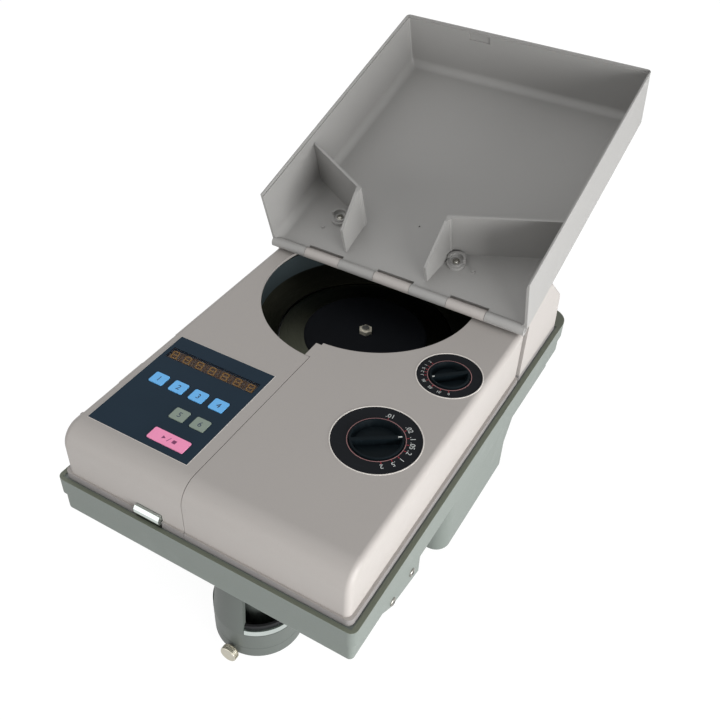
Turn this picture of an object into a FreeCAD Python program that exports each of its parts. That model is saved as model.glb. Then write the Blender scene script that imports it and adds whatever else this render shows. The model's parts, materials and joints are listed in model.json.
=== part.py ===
import FreeCAD, Part
import Sketcher
import math
import os
import re

V = FreeCAD.Vector

# Driving dimensions in millimetres and degrees: name, value, what it is.
# Machine coordinates: X to the right, Y from front to back, Z up, with Y 0 at the
# front of the covers' skirt and Z 0 on the ledge where the covers stand.
SIZES = [
    # covers
    ("cover_half", 127.0, "centre to the cover's side"),
    ("skirt_half", 129.6, "centre to the side of the skirt"),
    ("skirt_height", 6.8, "height of the skirt band"),
    ("front_face", 1.6, "front face behind the skirt"),
    ("cover_depth", 294.0, "front of the skirt to the covers' rear edge"),
    ("top_front", 52.0, "height of the top at its front"),
    ("top_rise", 4.5, "rise of the top from front to rear edge"),
    ("wall", 2.5, "wall of the moulded covers"),
    ("seam_x", -12.5, "seam between the two covers"),
    ("seam_gap", 0.5, "gap in the seam"),
    ("seam_wall_low", 26.0, "lower end of the walls along the seam"),
    ("front_round", 18.0, "rounding of the top's front edge"),
    ("right_round", 5.0, "rounding of the right side's edge"),
    ("left_round", 6.0, "rounding of the left side's edge"),
    ("skirt_round", 5.0, "corner rounding of the skirt"),
    ("over", 1.0, "overrun of a cutting tool"),
    ("grip_front", 26.0, "front end of the recess in the left edge"),
    ("grip_rear", 137.0, "rear end of that recess"),
    ("grip_in", 3.2, "depth of the recess into the side"),
    ("grip_tall", 12.0, "height of the recess"),
    ("grip_bump", 3.0, "height of the pad in the recess"),
    ("grip_pad_front", 67.0, "front end of that pad"),
    ("grip_pad_rear", 93.0, "rear end of that pad"),
    # bowl and its openings in the covers
    ("bowl_x", -12.5, "bowl centre"),
    ("bowl_y", 266.0, "bowl centre"),
    ("bowl_radius", 98.5, "inside of the bowl wall"),
    ("bowl_wall_thick", 2.0, "bowl wall"),
    ("bowl_low", 30.0, "lower edge of the bowl wall"),
    ("bowl_high", 50.6, "upper edge of the bowl wall"),
    ("bowl_clear", 0.5, "gap round the bowl wall"),
    ("left_arc_x", -10.5, "centre of the left cover's arc"),
    ("left_arc_y", 268.4, "centre of the left cover's arc"),
    ("left_arc_radius", 98.0, "left cover's arc"),
    ("right_arc_x", -15.9, "centre of the right cover's arc"),
    ("right_arc_y", 287.1, "centre of the right cover's arc"),
    ("right_arc_radius", 95.7, "right cover's arc"),
    ("tongue_out", 5.0, "tongue of the right cover past the seam"),
    ("tongue_front", 171.0, "front of the tongue"),
    ("tongue_rear", 188.5, "rear of the tongue"),
    ("cone_lip_radius", 81.0, "inner edge of the cone"),
    ("cone_lip_high", 15.8, "height of the cone's inner edge"),
    ("cone_thick", 2.0, "sheet of the cone"),
    # coin disc
    ("disc_radius", 79.5, "coin disc"),
    ("disc_low", 10.2, "underside of the coin disc"),
    ("disc_thick", 3.8, "coin disc"),
    ("pad_radius", 57.0, "black pad on the disc"),
    ("pad_thick", 2.0, "pad at its edge"),
    ("pad_crown", 1.2, "rise of the pad to its middle"),
    ("nut_radius", 6.4, "across the nut's corners, halved"),
    ("nut_thick", 3.6, "nut"),
    ("shaft_radius", 5.0, "disc shaft"),
    ("stud_radius", 3.5, "threaded end of the disc shaft"),
    ("shaft_tip", 1.5, "shaft above the nut"),
    ("run_gap", 0.05, "running clearance in a bearing"),
    ("air_gap", 0.4, "gap between parts that move past each other"),
    # deck and bearings
    ("deck_low", 5.0, "underside of the deck plate"),
    ("deck_thick", 3.0, "deck plate"),
    ("deck_half", 121.0, "half width of the deck"),
    ("deck_front", 10.0, "front edge of the deck"),
    ("deck_rear", 372.0, "rear edge of the deck"),
    ("deck_lip", 1.0, "deck's edge inside the funnel's bore"),
    ("bearing_radius", 11.0, "outside of the bearings"),
    ("bearing_tall", 7.0, "height of a bearing"),
    ("tube_wall", 4.0, "wall of the bearing tube"),
    ("tube_long", 41.0, "bearing tube below the deck"),
    ("gate_pad_top", 14.2, "top of the pad under the gate"),
    ("gate_pad_wide", 13.0, "width of that pad"),
    ("gate_pad_front", 152.0, "front of that pad"),
    ("gate_pad_rear", 191.0, "rear of that pad"),
    ("rail_pad_front", 84.0, "front of the pad under the rail"),
    ("rail_pad_rear", 130.0, "rear of the pad under the rail"),
    ("rail_pad_left", 44.0, "left end of the pad under the rail"),
    ("rail_pad_right", 63.0, "right end of the pad under the rail"),
    # drive
    ("motor_x", 62.0, "motor axis"),
    ("motor_y", 222.0, "motor axis"),
    ("motor_radius", 26.0, "motor can"),
    ("motor_tall", 44.0, "motor can"),
    ("motor_shaft_radius", 3.0, "motor shaft"),
    ("driven_radius", 28.0, "belt seat of the driven pulley"),
    ("drive_radius", 9.0, "belt seat of the motor pulley"),
    ("pulley_flange", 3.0, "flange above the belt seat"),
    ("pulley_low", -55.0, "underside of the pulleys"),
    ("pulley_tall", 11.0, "height of the pulleys"),
    ("flange_thick", 1.5, "pulley flange"),
    ("belt_thick", 2.0, "belt"),
    ("belt_wide", 6.0, "belt"),
    # coin path
    ("track_left", -30.0, "coin track"),
    ("track_right", 28.0, "coin track"),
    ("track_front", 66.0, "coin track"),
    ("track_rear", 160.0, "coin track"),
    ("track_thick", 2.0, "coin track"),
    ("ridge_right", -6.0, "inner side of the fixed rail"),
    ("ridge_wide", 3.0, "fixed rail"),
    ("ridge_tall", 3.0, "fixed rail"),
    ("exit_left", -10.0, "coin exit in the bowl"),
    ("exit_right", 24.0, "coin exit in the bowl"),
    ("exit_high", 17.0, "top of the coin exit"),
    ("rail_edge", 22.0, "coin edge of the width rail at rest"),
    ("rail_right", 62.0, "far end of the width rail"),
    ("rail_front", 66.0, "front of the width rail"),
    ("rail_rear", 138.0, "rear of the width rail"),
    ("rail_thick", 2.0, "width rail"),
    ("rail_lip", 0.8, "lip of the width rail"),
    ("post_radius", 2.0, "follower posts"),
    ("post_high", 21.5, "top of the follower posts"),
    ("slide_gap", 0.3, "gap under a slide"),
    ("feed_y", 150.0, "axis of the feed roller"),
    ("idler_y", 78.0, "axis of the idler roller"),
    ("feed_z", 21.8, "height of both rollers"),
    ("roller_radius", 6.0, "belt seat of the rollers"),
    ("roller_left", 2.0, "rollers"),
    ("roller_wide", 10.0, "rollers"),
    ("roller_shaft", 2.0, "radius of the roller shafts"),
    ("feed_belt_thick", 1.4, "feed belt"),
    ("ear_left", -8.8, "ear that holds the idler"),
    ("ear_wide", 3.0, "ear"),
    ("ear_half", 6.0, "half depth of the ear"),
    ("ear_high", 28.0, "top of the ear"),
    ("feed_motor_left", 30.0, "feed motor"),
    ("feed_motor_long", 34.0, "feed motor"),
    ("feed_motor_radius", 11.5, "feed motor"),
    ("feed_saddle", 8.0, "half width of the feed motor's saddle"),
    ("sensor_left", -27.0, "coin sensor"),
    ("sensor_right", -9.5, "coin sensor"),
    ("sensor_front", 92.0, "coin sensor"),
    ("sensor_rear", 112.0, "coin sensor"),
    ("sensor_high", 24.0, "top of the coin sensor"),
    # dials
    ("large_x", 80.4, "large dial"),
    ("large_y", 117.8, "large dial"),
    ("large_plate", 34.9, "radius of the large plate"),
    ("large_knob_radius", 20.8, "large knob"),
    ("large_shaft", 4.0, "large knob's shaft radius"),
    ("large_angle", 35.0, "direction of the large pointer"),
    ("small_x", 95.8, "small dial"),
    ("small_y", 211.3, "small dial"),
    ("small_plate", 26.9, "radius of the small plate"),
    ("small_knob_radius", 16.4, "small knob"),
    ("small_shaft", 3.0, "small knob's shaft radius"),
    ("small_angle", 222.5, "direction of the small pointer"),
    ("plate_thick", 1.0, "dial plates"),
    ("plate_sink", 0.2, "dial plates below the cover"),
    ("plate_gap", 0.7, "gap round the dial plates"),
    ("knob_proud", 1.6, "rim of a knob above its plate"),
    ("knob_gap", 0.6, "gap round a knob in its plate"),
    ("knob_rim", 1.3, "rim of a knob"),
    ("knob_round", 0.4, "rounding of that rim"),
    ("knob_well", 5.8, "finger hollows below the rim"),
    ("knob_lean", 2.2, "slope of the hollows' outer wall"),
    ("knob_floor", 1.8, "floor under the hollows"),
    ("grip_wide", 3.4, "grip across a knob, at its top"),
    ("grip_flare", 0.6, "widening of the grip's foot on each side"),
    ("cam_drop", 37.0, "underside of the cams below the cover's top"),
    ("cam_thick", 4.0, "cams"),
    ("large_cam_rest", 12.0, "large cam's radius at its follower at rest"),
    ("large_cam_pitch", 4.0, "rise of the large cam for each radian"),
    ("small_cam_rest", 8.0, "small cam's radius at its follower at rest"),
    ("small_cam_pitch", 1.5, "rise of the small cam for each radian"),
    ("large_back_angle", 88.0, "large dial's turn one way"),
    ("large_ahead_angle", 63.0, "large dial's turn the other way"),
    ("small_back_angle", 61.0, "small dial's turn one way"),
    ("small_ahead_angle", 71.0, "small dial's turn the other way"),
    ("cam_margin_angle", 12.0, "cam profile past each end of the turn"),
    ("gate_tip", 15.0, "end of the gate over the coins"),
    ("gate_front", 162.5, "front of the gate's arm"),
    ("gate_wide", 4.0, "width of the gate's arm"),
    ("gate_low", 14.5, "underside of the gate"),
    ("gate_thick", 2.0, "gate"),
    ("gate_stem_half", 3.2, "half width of the gate's stem"),
    # control panel
    ("panel_left", -117.4, "control panel"),
    ("panel_right", -23.1, "control panel"),
    ("panel_front", 23.6, "control panel"),
    ("panel_rear", 135.3, "control panel"),
    ("panel_thick", 1.6, "control panel"),
    ("panel_proud", 0.3, "control panel above the cover"),
    ("panel_gap", 0.3, "gap round the control panel"),
    ("window_left", -113.8, "display window"),
    ("window_right", -27.0, "display window"),
    ("window_front", 108.6, "display window"),
    ("window_rear", 121.2, "display window"),
    ("window_thick", 1.2, "display window"),
    ("window_sink", 0.2, "display window below the panel's face"),
    ("window_edge", 1.4, "ledge under the window"),
    ("module_drop", 2.8, "top of the digit module below the cover's top"),
    ("module_margin", 1.0, "digit module past the window"),
    ("key_wide", 13.3, "key"),
    ("key_deep", 11.8, "key"),
    ("key_pitch", 19.55, "from one key to the next"),
    ("blue_x", -99.05, "first blue key"),
    ("blue_y", 84.3, "row of blue keys"),
    ("grey_x", -59.3, "first grey key"),
    ("grey_y", 60.6, "row of grey keys"),
    ("pink_x", -49.4, "pink key"),
    ("pink_y", 35.9, "pink key"),
    ("pink_wide", 33.8, "pink key"),
    ("key_thick", 1.3, "key cap"),
    ("key_proud", 0.5, "key cap above the panel"),
    ("key_gap", 0.25, "gap round a key"),
    ("key_corner", 1.4, "corner rounding of a key"),
    ("key_travel", 0.5, "travel of a key"),
    ("stem_radius", 2.0, "key stem"),
    ("stem_gap", 0.4, "gap round a key stem"),
    ("switch_half", 3.0, "half width of a key switch"),
    ("switch_tall", 3.5, "key switch"),
    ("switch_free", 0.2, "gap left above a switch at full travel"),
    ("board_drop", 10.8, "top of the display board below the cover's top"),
    ("board_thick", 1.6, "boards"),
    ("board_left", -119.5, "display board"),
    ("board_right", -18.0, "display board"),
    ("board_front", 20.0, "display board"),
    ("board_rear", 138.0, "display board"),
    ("boss_radius", 3.0, "bosses for boards"),
    ("boss_inset", 5.0, "bosses from the board's edge"),
    # lower case
    ("rim_half", 135.0, "centre to the side of the rim"),
    ("rim_front", -4.6, "front of the rim"),
    ("rim_rear", 419.5, "rear of the rim"),
    ("rim_top", 1.0, "rim above the ledge"),
    ("rim_tall", 16.0, "height of the rim band"),
    ("rim_step", 2.0, "wall behind the rim's face"),
    ("rim_slot", 1.4, "gap between rim and skirt"),
    ("rim_front_round", 6.0, "front corners of the rim"),
    ("rim_rear_round", 20.0, "rear corners of the rim"),
    ("tray_low", -36.0, "underside of the tray"),
    ("tray_half_in", 128.5, "centre to the tray's inner side"),
    ("tray_front_in", 2.0, "front inner side of the tray"),
    ("tray_rear_in", 413.0, "rear inner side of the tray"),
    ("shelf_front", 388.0, "front of the shelf behind the rear block"),
    ("shelf_thick", 3.0, "shelf"),
    ("tray_edge_round", 3.0, "lower edges of the case"),
    ("deep_half", 126.5, "half width of the deep box"),
    ("deep_front", 172.0, "front of the deep box"),
    ("deep_rear", 301.0, "rear of the deep box"),
    ("deep_low", -116.0, "underside of the deep box"),
    ("deep_round", 14.0, "front corners of the deep box"),
    ("bay_rear", 403.0, "rear of the bay behind the deep box"),
    ("bay_low", -60.0, "underside of that bay"),
    ("ramp_rise", 22.0, "height of the ramp between box and bay"),
    ("ramp_run", 13.0, "length of that ramp"),
    ("tab_front", 41.0, "front of the side tab"),
    ("tab_toe", 56.0, "front end of the tab's lower edge"),
    ("tab_toe_low", -43.0, "front end of the tab's lower edge"),
    ("tab_heel", 102.0, "rear end of the tab's lower edge"),
    ("tab_heel_low", -51.5, "rear end of the tab's lower edge"),
    ("tab_thick", 4.0, "side tab"),
    ("tab_screw_front", 57.5, "front screw in the tab"),
    ("tab_screw_rear", 88.5, "rear screw in the tab"),
    ("tab_screw_z", -38.0, "screws in the tab"),
    ("screw_radius", 1.9, "shank of a screw"),
    ("screw_head", 3.8, "head of a screw"),
    ("screw_head_tall", 1.5, "head of a screw"),
    ("pillar_radius", 6.0, "pillars under the deck"),
    ("pillar_x", 108.0, "pillars"),
    ("pillar_front", 24.0, "front pillars"),
    ("pillar_mid", 284.0, "pillars in the deep box"),
    ("foot_radius", 9.0, "feet"),
    ("foot_tall", 4.0, "feet"),
    ("foot_x", 104.0, "feet"),
    ("foot_front", 192.0, "front feet"),
    ("foot_rear", 282.0, "rear feet"),
    # rear block
    ("lid_half", 130.0, "half width of the lid"),
    ("block_inset", 0.5, "sides of the rear block inside the lid's"),
    ("block_half", "=lid_half - block_inset", "half width of the rear block"),
    ("block_front", 297.0, "front of the rear block"),
    ("block_peak", 346.0, "highest line of the rear block"),
    ("block_back_y", 386.5, "upper end of the rear face"),
    ("block_back_z", 44.0, "upper end of the rear face"),
    ("block_foot", 391.0, "rear face at the ledge"),
    ("block_peak_round", 12.0, "rounding of the highest line"),
    ("block_back_round", 10.0, "rounding of the rear edge"),
    ("block_side_round", 3.0, "rounding of the side edges"),
    ("block_arch_high", 51.8, "top of the arch over the bowl"),
    ("lid_rest_gap", 0.3, "gap under the opened lid"),
    # hinge and lid
    ("hinge_y", 289.6, "hinge axis"),
    ("hinge_z", 63.5, "hinge axis"),
    ("lid_tilt", 17.36, "slope of the opened lid"),
    ("barrel_radius", 5.0, "hinge barrel"),
    ("barrel_inset", 1.1, "ends of the barrel inside the lid's sides"),
    ("barrel_half", "=lid_half - barrel_inset", "half length of the barrel"),
    ("knuckle_gap", 0.4, "gap between knuckles"),
    ("pin_radius", 1.95, "hinge pin"),
    ("pin_short", 1.0, "hinge pin inside the barrel's ends"),
    ("notch_deep", 7.4, "notch in the lid at each fixed knuckle"),
    ("lid_long", 286.0, "hinge axis to the lid's far face"),
    ("lid_high", 60.8, "height of the lid's walls"),
    ("lid_floor", 2.5, "lid floor"),
    ("lid_wall", 2.4, "lid walls"),
    ("lid_corner", 4.0, "upright corners of the lid"),
    ("lid_edge", 2.0, "outer lower edges of the lid"),
    ("lip_deep", 1.2, "step inside the walls' top"),
    ("lip_tall", 2.6, "height of that step"),
    ("lid_cove", 8.0, "rounding between the lid's floor and its far wall"),
    ("slot_left", -58.0, "catch pocket"),
    ("slot_right", -35.0, "catch pocket"),
    ("slot_low", 49.0, "catch pocket"),
    ("slot_high", 57.0, "catch pocket"),
    ("slot_deep", 1.3, "catch pocket"),
    ("drain_x", -8.0, "small hole in the lid floor"),
    ("drain_far", 69.0, "small hole in the lid floor"),
    ("drain_radius", 0.9, "small hole in the lid floor"),
    # coin guides in the lid
    ("guide_thick", 2.4, "guides"),
    ("guide_high", 50.0, "top of the guides"),
    ("guide_gap", 0.15, "guides from the lid's walls"),
    ("left_wall_far", 86.0, "left guide at the wall"),
    ("left_corner_x", -56.5, "left guide's corner"),
    ("left_corner_far", 50.0, "left guide's corner"),
    ("left_end_x", -55.6, "left guide's end"),
    ("left_end_far", 13.0, "left guide's end"),
    ("left_end_high", 31.0, "left guide's end"),
    ("left_lug_x", -82.0, "left guide's lug"),
    ("left_lug_far", 47.0, "left guide's lug"),
    ("right_wall_far", 84.0, "right guide at the wall"),
    ("right_corner_x", 32.7, "right guide's corner"),
    ("right_corner_far", 50.2, "right guide's corner"),
    ("right_end_x", 26.5, "right guide's end"),
    ("right_end_far", 12.5, "right guide's end"),
    ("right_end_high", 20.0, "right guide's end"),
    ("right_lug_x", 43.5, "right guide's lug"),
    ("right_lug_far", 42.0, "right guide's lug"),
    ("lug_radius", 6.6, "lugs"),
    ("lug_tall", 3.0, "lugs"),
    ("lug_rim", 2.2, "rim round a lug"),
    ("lug_rim_tall", 7.0, "rim round a lug"),
    ("web_wide", 5.0, "web from a lug to its guide"),
    ("peg_radius", 1.6, "pegs on the lid floor"),
    ("peg_tall", 2.2, "pegs on the lid floor"),
    ("left_peg_x", -92.5, "left peg"),
    ("left_peg_far", 31.5, "left peg"),
    ("right_peg_x", 61.5, "right peg"),
    ("right_peg_far", 39.0, "right peg"),
    # chute and bag clamp
    ("chute_x", 25.0, "chute axis"),
    ("chute_y", 35.8, "chute axis"),
    ("chute_bore", 15.4, "bore of the chute tube"),
    ("chute_radius", 17.2, "chute tube"),
    ("chute_low", -115.0, "lower end of the chute tube"),
    ("chute_hole_gap", 0.3, "gap round the chute tube"),
    ("mouth_bore", 26.0, "bore of the funnel under the deck"),
    ("mouth_low", -10.0, "the funnel narrows from here down"),
    ("mouth_end", -30.0, "lower end of the funnel"),
    ("collar_radius", 36.8, "bag collar"),
    ("collar_wall", 5.2, "wall of the collar"),
    ("collar_floor", 3.0, "floor of the collar"),
    ("collar_low", -117.0, "lower end of the collar"),
    ("collar_top", -86.5, "top of the collar's full ring"),
    ("collar_from_angle", 226.0, "column's arc starts here"),
    ("collar_to_angle", 286.0, "column's arc ends here"),
    ("collar_round", 3.0, "lower edge of the collar"),
    ("column_lean", 5.0, "inward lean of the column over its height"),
    ("ring_out", 36.6, "outside of the clamp ring"),
    ("ring_thick", 3.0, "clamp ring"),
    ("ring_tall", 5.6, "clamp ring"),
    ("ring_lift", 0.3, "clamp ring above the collar"),
    ("ring_end_angle", 0.7, "degrees between ring and column"),
    ("ring_travel", 30.0, "travel of the clamp ring"),
    ("rubber_thick", 2.0, "rubber strip"),
    ("rubber_tall", 8.4, "rubber strip"),
    ("thumb_z", -110.5, "thumb screw"),
    ("thumb_radius", 7.2, "head of the thumb screw"),
    ("thumb_reach", 8.0, "face of the head past the collar"),
    ("thumb_head", 6.5, "head of the thumb screw"),
    ("thumb_shank", 2.5, "shank of the thumb screw"),
    # catch, inlet and parts inside
    ("catch_left", -57.0, "front catch"),
    ("catch_right", -33.5, "front catch"),
    ("catch_top", 12.2, "top of the catch"),
    ("catch_brow", 9.8, "upper edge of the nose"),
    ("catch_nose", 6.5, "lower edge of the nose"),
    ("catch_proud", 2.8, "nose past the skirt"),
    ("catch_lip", 0.8, "top and foot of the catch past the skirt"),
    ("catch_plate", 1.6, "catch sheet"),
    ("catch_gap", 0.4, "gap round the catch"),
    ("catch_stroke", 2.0, "travel of the catch"),
    ("catch_foot", 8.0, "foot of the catch inside the cover"),
    ("inlet_x", -50.0, "power inlet"),
    ("inlet_z", -47.0, "power inlet"),
    ("inlet_wide", 52.0, "flange of the inlet"),
    ("inlet_tall", 22.0, "flange of the inlet"),
    ("inlet_flange", 2.5, "flange of the inlet"),
    ("inlet_edge", 1.5, "flange of the inlet past its hole"),
    ("inlet_body", 20.0, "depth of the inlet"),
    ("socket_wide", 24.0, "socket"),
    ("socket_tall", 15.8, "socket"),
    ("socket_deep", 16.0, "socket"),
    ("socket_shift", 10.5, "socket from the inlet's middle"),
    ("prong_wide", 2.0, "prongs"),
    ("prong_tall", 4.0, "prongs"),
    ("prong_pitch", 7.0, "prongs"),
    ("prong_long", 12.0, "prongs"),
    ("well_wide", 13.0, "well of the rocker"),
    ("well_tall", 15.8, "well of the rocker"),
    ("well_deep", 15.0, "well of the rocker"),
    ("well_shift", 16.0, "well from the inlet's middle"),
    ("rocker_radius", 6.6, "rocker"),
    ("rocker_in", 5.6, "rocker axis inside the flange's face"),
    ("rocker_tilt", 8.0, "tilt of the rocker at rest"),
    ("rocker_out", 6.5, "ends of the rocker's face from its axis"),
    ("rocker_dip", 1.8, "dip in the middle of that face"),
    ("board_x0", -98.0, "main board"),
    ("board_x1", -10.0, "main board"),
    ("board_y0", 186.0, "main board"),
    ("board_y1", 288.0, "main board"),
    ("board_z", -104.0, "underside of the main board"),
    ("chip_tall", 14.0, "tall parts on the main board"),
    ("chip_wide", 16.0, "tall parts on the main board"),
    ("iron_x0", 24.0, "transformer"),
    ("iron_x1", 92.0, "transformer"),
    ("iron_y0", 196.0, "transformer"),
    ("iron_y1", 252.0, "transformer"),
    ("iron_tall", 44.0, "transformer"),
    ("coil_out", 9.0, "transformer's coil past its core"),
]
ALIASES = {alias for alias, value, note in SIZES}
WORD = re.compile(r"[A-Za-z_]\w*")

doc = FreeCAD.newDocument("coin_counter")
sheet = doc.addObject("Spreadsheet::Sheet", "Sizes")
for row, (alias, value, note) in enumerate(SIZES, start=1):
    sheet.set(f"A{row}", alias)
    sheet.set(f"B{row}", str(value))
    sheet.setAlias(f"B{row}", alias)
    sheet.set(f"C{row}", note)
doc.recompute()

# Formulas that several pieces share.
TOP_TILT = "atan(top_rise / cover_depth)"
TOP_REAR = "top_front + top_rise"
TOP_AT_FACE = "top_front + front_face * top_rise / cover_depth"
DECK_TOP = "deck_low + deck_thick"
TRACK_TOP = f"({DECK_TOP} + track_thick)"
DISC_TOP = "(disc_low + disc_thick)"
NUT_TOP = f"({DISC_TOP} + pad_thick + pad_crown + nut_thick)"
BOWL_OUT = "(bowl_radius + bowl_wall_thick)"
PANEL_LOW = "(panel_proud - panel_thick)"
KEY_LOW = "(panel_proud + key_proud - key_thick)"
SWITCH_TOP = "(switch_tall - board_drop)"
LID_COS = "cos(lid_tilt * 1deg)"
LID_SIN = "sin(lid_tilt * 1deg)"
FLOOR = "(foot_tall - deep_low)"
MIDDLE = f"((hinge_y + lid_long * {LID_COS} + chute_y - collar_radius - thumb_reach) / 2)"
FRAMES = {
    "machine": ("0", "0", "0"),
    "top": ("0", "top_front", TOP_TILT),
    "lid": ("hinge_y", "hinge_z", "lid_tilt"),
}
ROLES = {"XY": "XY_Plane", "XZ": "XZ_Plane", "YZ": "YZ_Plane"}
SIDES = {
    "x-": ("x", "XMin"), "x+": ("x", "XMax"),
    "y-": ("y", "YMin"), "y+": ("y", "YMax"),
    "z-": ("z", "ZMin"), "z+": ("z", "ZMax"),
}
TOUCH = 1e-4
nodes = []


def size(alias):
    """The value of one cell of the sheet."""
    return float(getattr(sheet, alias))


def formula(text):
    """An expression in which each alias points at its cell."""
    return WORD.sub(lambda m: "Sizes." + m.group(0) if m.group(0) in ALIASES else m.group(0), str(text))


def bind(item, **values):
    """Tie properties of an object to formulas; a double underscore stands for a point."""
    for name, text in values.items():
        item.setExpression(name.replace("__", "."), formula(text))
    return item


def at(item, x, y, z):
    """Place an object by formulas."""
    return bind(item, Placement__Base__x=x, Placement__Base__y=y, Placement__Base__z=z)


def box(x0, x1, y0, y1, z0, z1):
    """A block between two corners."""
    item = doc.addObject("Part::Box", "block")
    bind(item, Length=f"({x1}) - ({x0})", Width=f"({y1}) - ({y0})", Height=f"({z1}) - ({z0})")
    return at(item, x0, y0, z0)


def aim(item, axis):
    """Turn an object made along Z to the axis named."""
    if axis == "x":
        item.Placement.Rotation = FreeCAD.Rotation(V(0, 1, 0), 90)
    if axis == "y":
        item.Placement.Rotation = FreeCAD.Rotation(V(1, 0, 0), -90)


def rod(axis, x, y, z, radius, length):
    """A cylinder that starts at a point and runs along an axis."""
    item = doc.addObject("Part::Cylinder", "rod")
    aim(item, axis)
    bind(item, Radius=radius, Height=length)
    return at(item, x, y, z)


def cone(x, y, z, radius, top_radius, length):
    """An upright cone."""
    item = doc.addObject("Part::Cone", "cone")
    bind(item, Radius1=radius, Radius2=top_radius, Height=length)
    return at(item, x, y, z)


def tube(axis, x, y, z, radius, bore, length):
    """A cylinder with a bore along it."""
    return cut(rod(axis, x, y, z, radius, length), rod(axis, x, y, z, bore, length))


def sketch(body, plane, points, start):
    """A closed outline on one of the body's planes, moved along the plane's normal."""
    item = body.newObject("Sketcher::SketchObject", "outline")
    for feature in body.Origin.OriginFeatures:
        if feature.Role == ROLES[plane]:
            item.AttachmentSupport = (feature, "")
    item.MapMode = "FlatFace"
    way = "-" if plane == "XZ" else ""
    bind(item, AttachmentOffset__Base__z=f"{way}({start})")
    count = len(points)
    turn = 2 * math.pi / count
    ring = [V(math.cos(i * turn), math.sin(i * turn)) for i in range(count)]
    for i in range(count):
        item.addGeometry(Part.LineSegment(ring[i], ring[(i + 1) % count]))
    for i in range(count):
        item.addConstraint(Sketcher.Constraint("Coincident", i, 2, (i + 1) % count, 1))
    for i, (across, up) in enumerate(points):
        for kind, guess, text in (("DistanceX", ring[i].x, across), ("DistanceY", ring[i].y, up)):
            index = item.addConstraint(Sketcher.Constraint(kind, -1, 1, i, 1, guess))
            item.setExpression(f"Constraints[{index}]", formula(text))
    return item


def prism(plane, points, start, end):
    """A body padded from an outline: XY goes up, XZ goes back, YZ goes right."""
    body = doc.addObject("PartDesign::Body", "prism")
    outline = sketch(body, plane, points, start)
    pad = body.newObject("PartDesign::Pad", "pad")
    pad.Profile = outline
    pad.Reversed = plane == "XZ"
    bind(pad, Length=f"({end}) - ({start})")
    return body


def turned(points, x, y, angle="360"):
    """A body turned about an upright axis from an outline of radius and height."""
    body = doc.addObject("PartDesign::Body", "turned")
    outline = sketch(body, "XZ", points, "0")
    spin = body.newObject("PartDesign::Revolution", "spin")
    spin.Profile = outline
    spin.ReferenceAxis = (outline, ["V_Axis"])
    bind(spin, Angle=angle)
    return at(body, x, y, "0")


def lies_on(edge, bounds, side):
    """Whether an edge lies wholly on one side of the bounding box."""
    letter, limit = SIDES[side]
    ends = [edge.valueAt(edge.FirstParameter), edge.valueAt(edge.LastParameter)]
    middle = edge.valueAt((edge.FirstParameter + edge.LastParameter) / 2)
    return all(abs(getattr(p, letter) - getattr(bounds, limit)) < TOUCH for p in ends + [middle])


def edges_of(shape, on, skip=()):
    """Names of the edges that lie on all the sides named, and on none of those skipped."""
    found = []
    for number, edge in enumerate(shape.Edges, start=1):
        wanted = all(lies_on(edge, shape.BoundBox, side) for side in on)
        if wanted and not any(lies_on(edge, shape.BoundBox, side) for side in skip):
            found.append(f"Edge{number}")
    return found


def soften(body, radius, *groups):
    """Round the edges of a body; each group is the sides they lie on and those they don't."""
    doc.recompute()
    tip = body.Tip
    names = []
    for on, skip in groups:
        names += edges_of(tip.Shape, on, skip)
    round_edge = body.newObject("PartDesign::Fillet", "rounding")
    round_edge.Base = (tip, sorted(set(names)))
    bind(round_edge, Radius=radius)
    return body


def block(x0, x1, y0, y1, z0, z1):
    """A body in the form of a block, whose edges can be rounded."""
    return prism("XY", [(x0, y0), (x1, y0), (x1, y1), (x0, y1)], z0, z1)


def fuse(*items):
    """Several objects made one."""
    item = doc.addObject("Part::MultiFuse", "joined")
    item.Shapes = list(items)
    return item


def cut(base, *tools):
    """An object with tools taken from it."""
    item = doc.addObject("Part::Cut", "cut")
    item.Base = base
    item.Tool = tools[0] if len(tools) == 1 else fuse(*tools)
    return item


def group(*items):
    """Objects kept side by side."""
    item = doc.addObject("Part::Compound", "group")
    item.Links = list(items)
    return item


def in_frame(frame, *items):
    """Objects built in the sloping top's or the lid's own frame, brought into the machine's."""
    y, z, tilt = FRAMES[frame]
    item = group(*items)
    item.Placement.Rotation.Axis = V(1, 0, 0)
    bind(item, Placement__Rotation__Angle=tilt)
    return at(item, "0", y, z)


def node(label, frame, *items):
    """A finished sub-part, placed in the row's frame."""
    y, z, tilt = FRAMES[frame]
    item = group(*items)
    item.Label = label
    item.Placement.Rotation.Axis = V(1, 0, 0)
    bind(item, Placement__Rotation__Angle=tilt)
    at(item, "0", f"{y} - {MIDDLE}", f"{z} + {FLOOR}")
    nodes.append(item)
    return item


def turn_about(item, x, y, angle):
    """Turn an object made about the origin, then move it to its axis."""
    holder = group(item)
    bind(holder, Placement__Rotation__Angle=angle)
    return at(holder, x, y, "0")


def cover_profile(inset):
    """Side outline of a cover: front, foot, rear edge and sloping top."""
    front = f"front_face + {inset}"
    foot = "0" if inset == "0" else "-over"
    rear = "cover_depth" if inset == "0" else "cover_depth + over"
    return [(front, foot), (rear, foot), (rear, f"{TOP_REAR} - {inset}"), (front, f"{TOP_AT_FACE} - {inset}")]


def cover_form(left, right, side, side_round, inset):
    """One cover as a full solid, or the hollow inside it when inset is the wall."""
    body = prism("YZ", cover_profile(inset), left, right)
    soften(body, f"front_round - {inset}", (("y-",), ("z-", "x-", "x+")))
    soften(body, f"{side_round} - {inset}", ((side,), ("z-", "y+")))
    return body


def skirt(left, right, side):
    """The band at a cover's foot."""
    body = block(left, right, "0", "cover_depth", "0", "skirt_height")
    return soften(body, "skirt_round", (("y-", side), ()))


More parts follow.
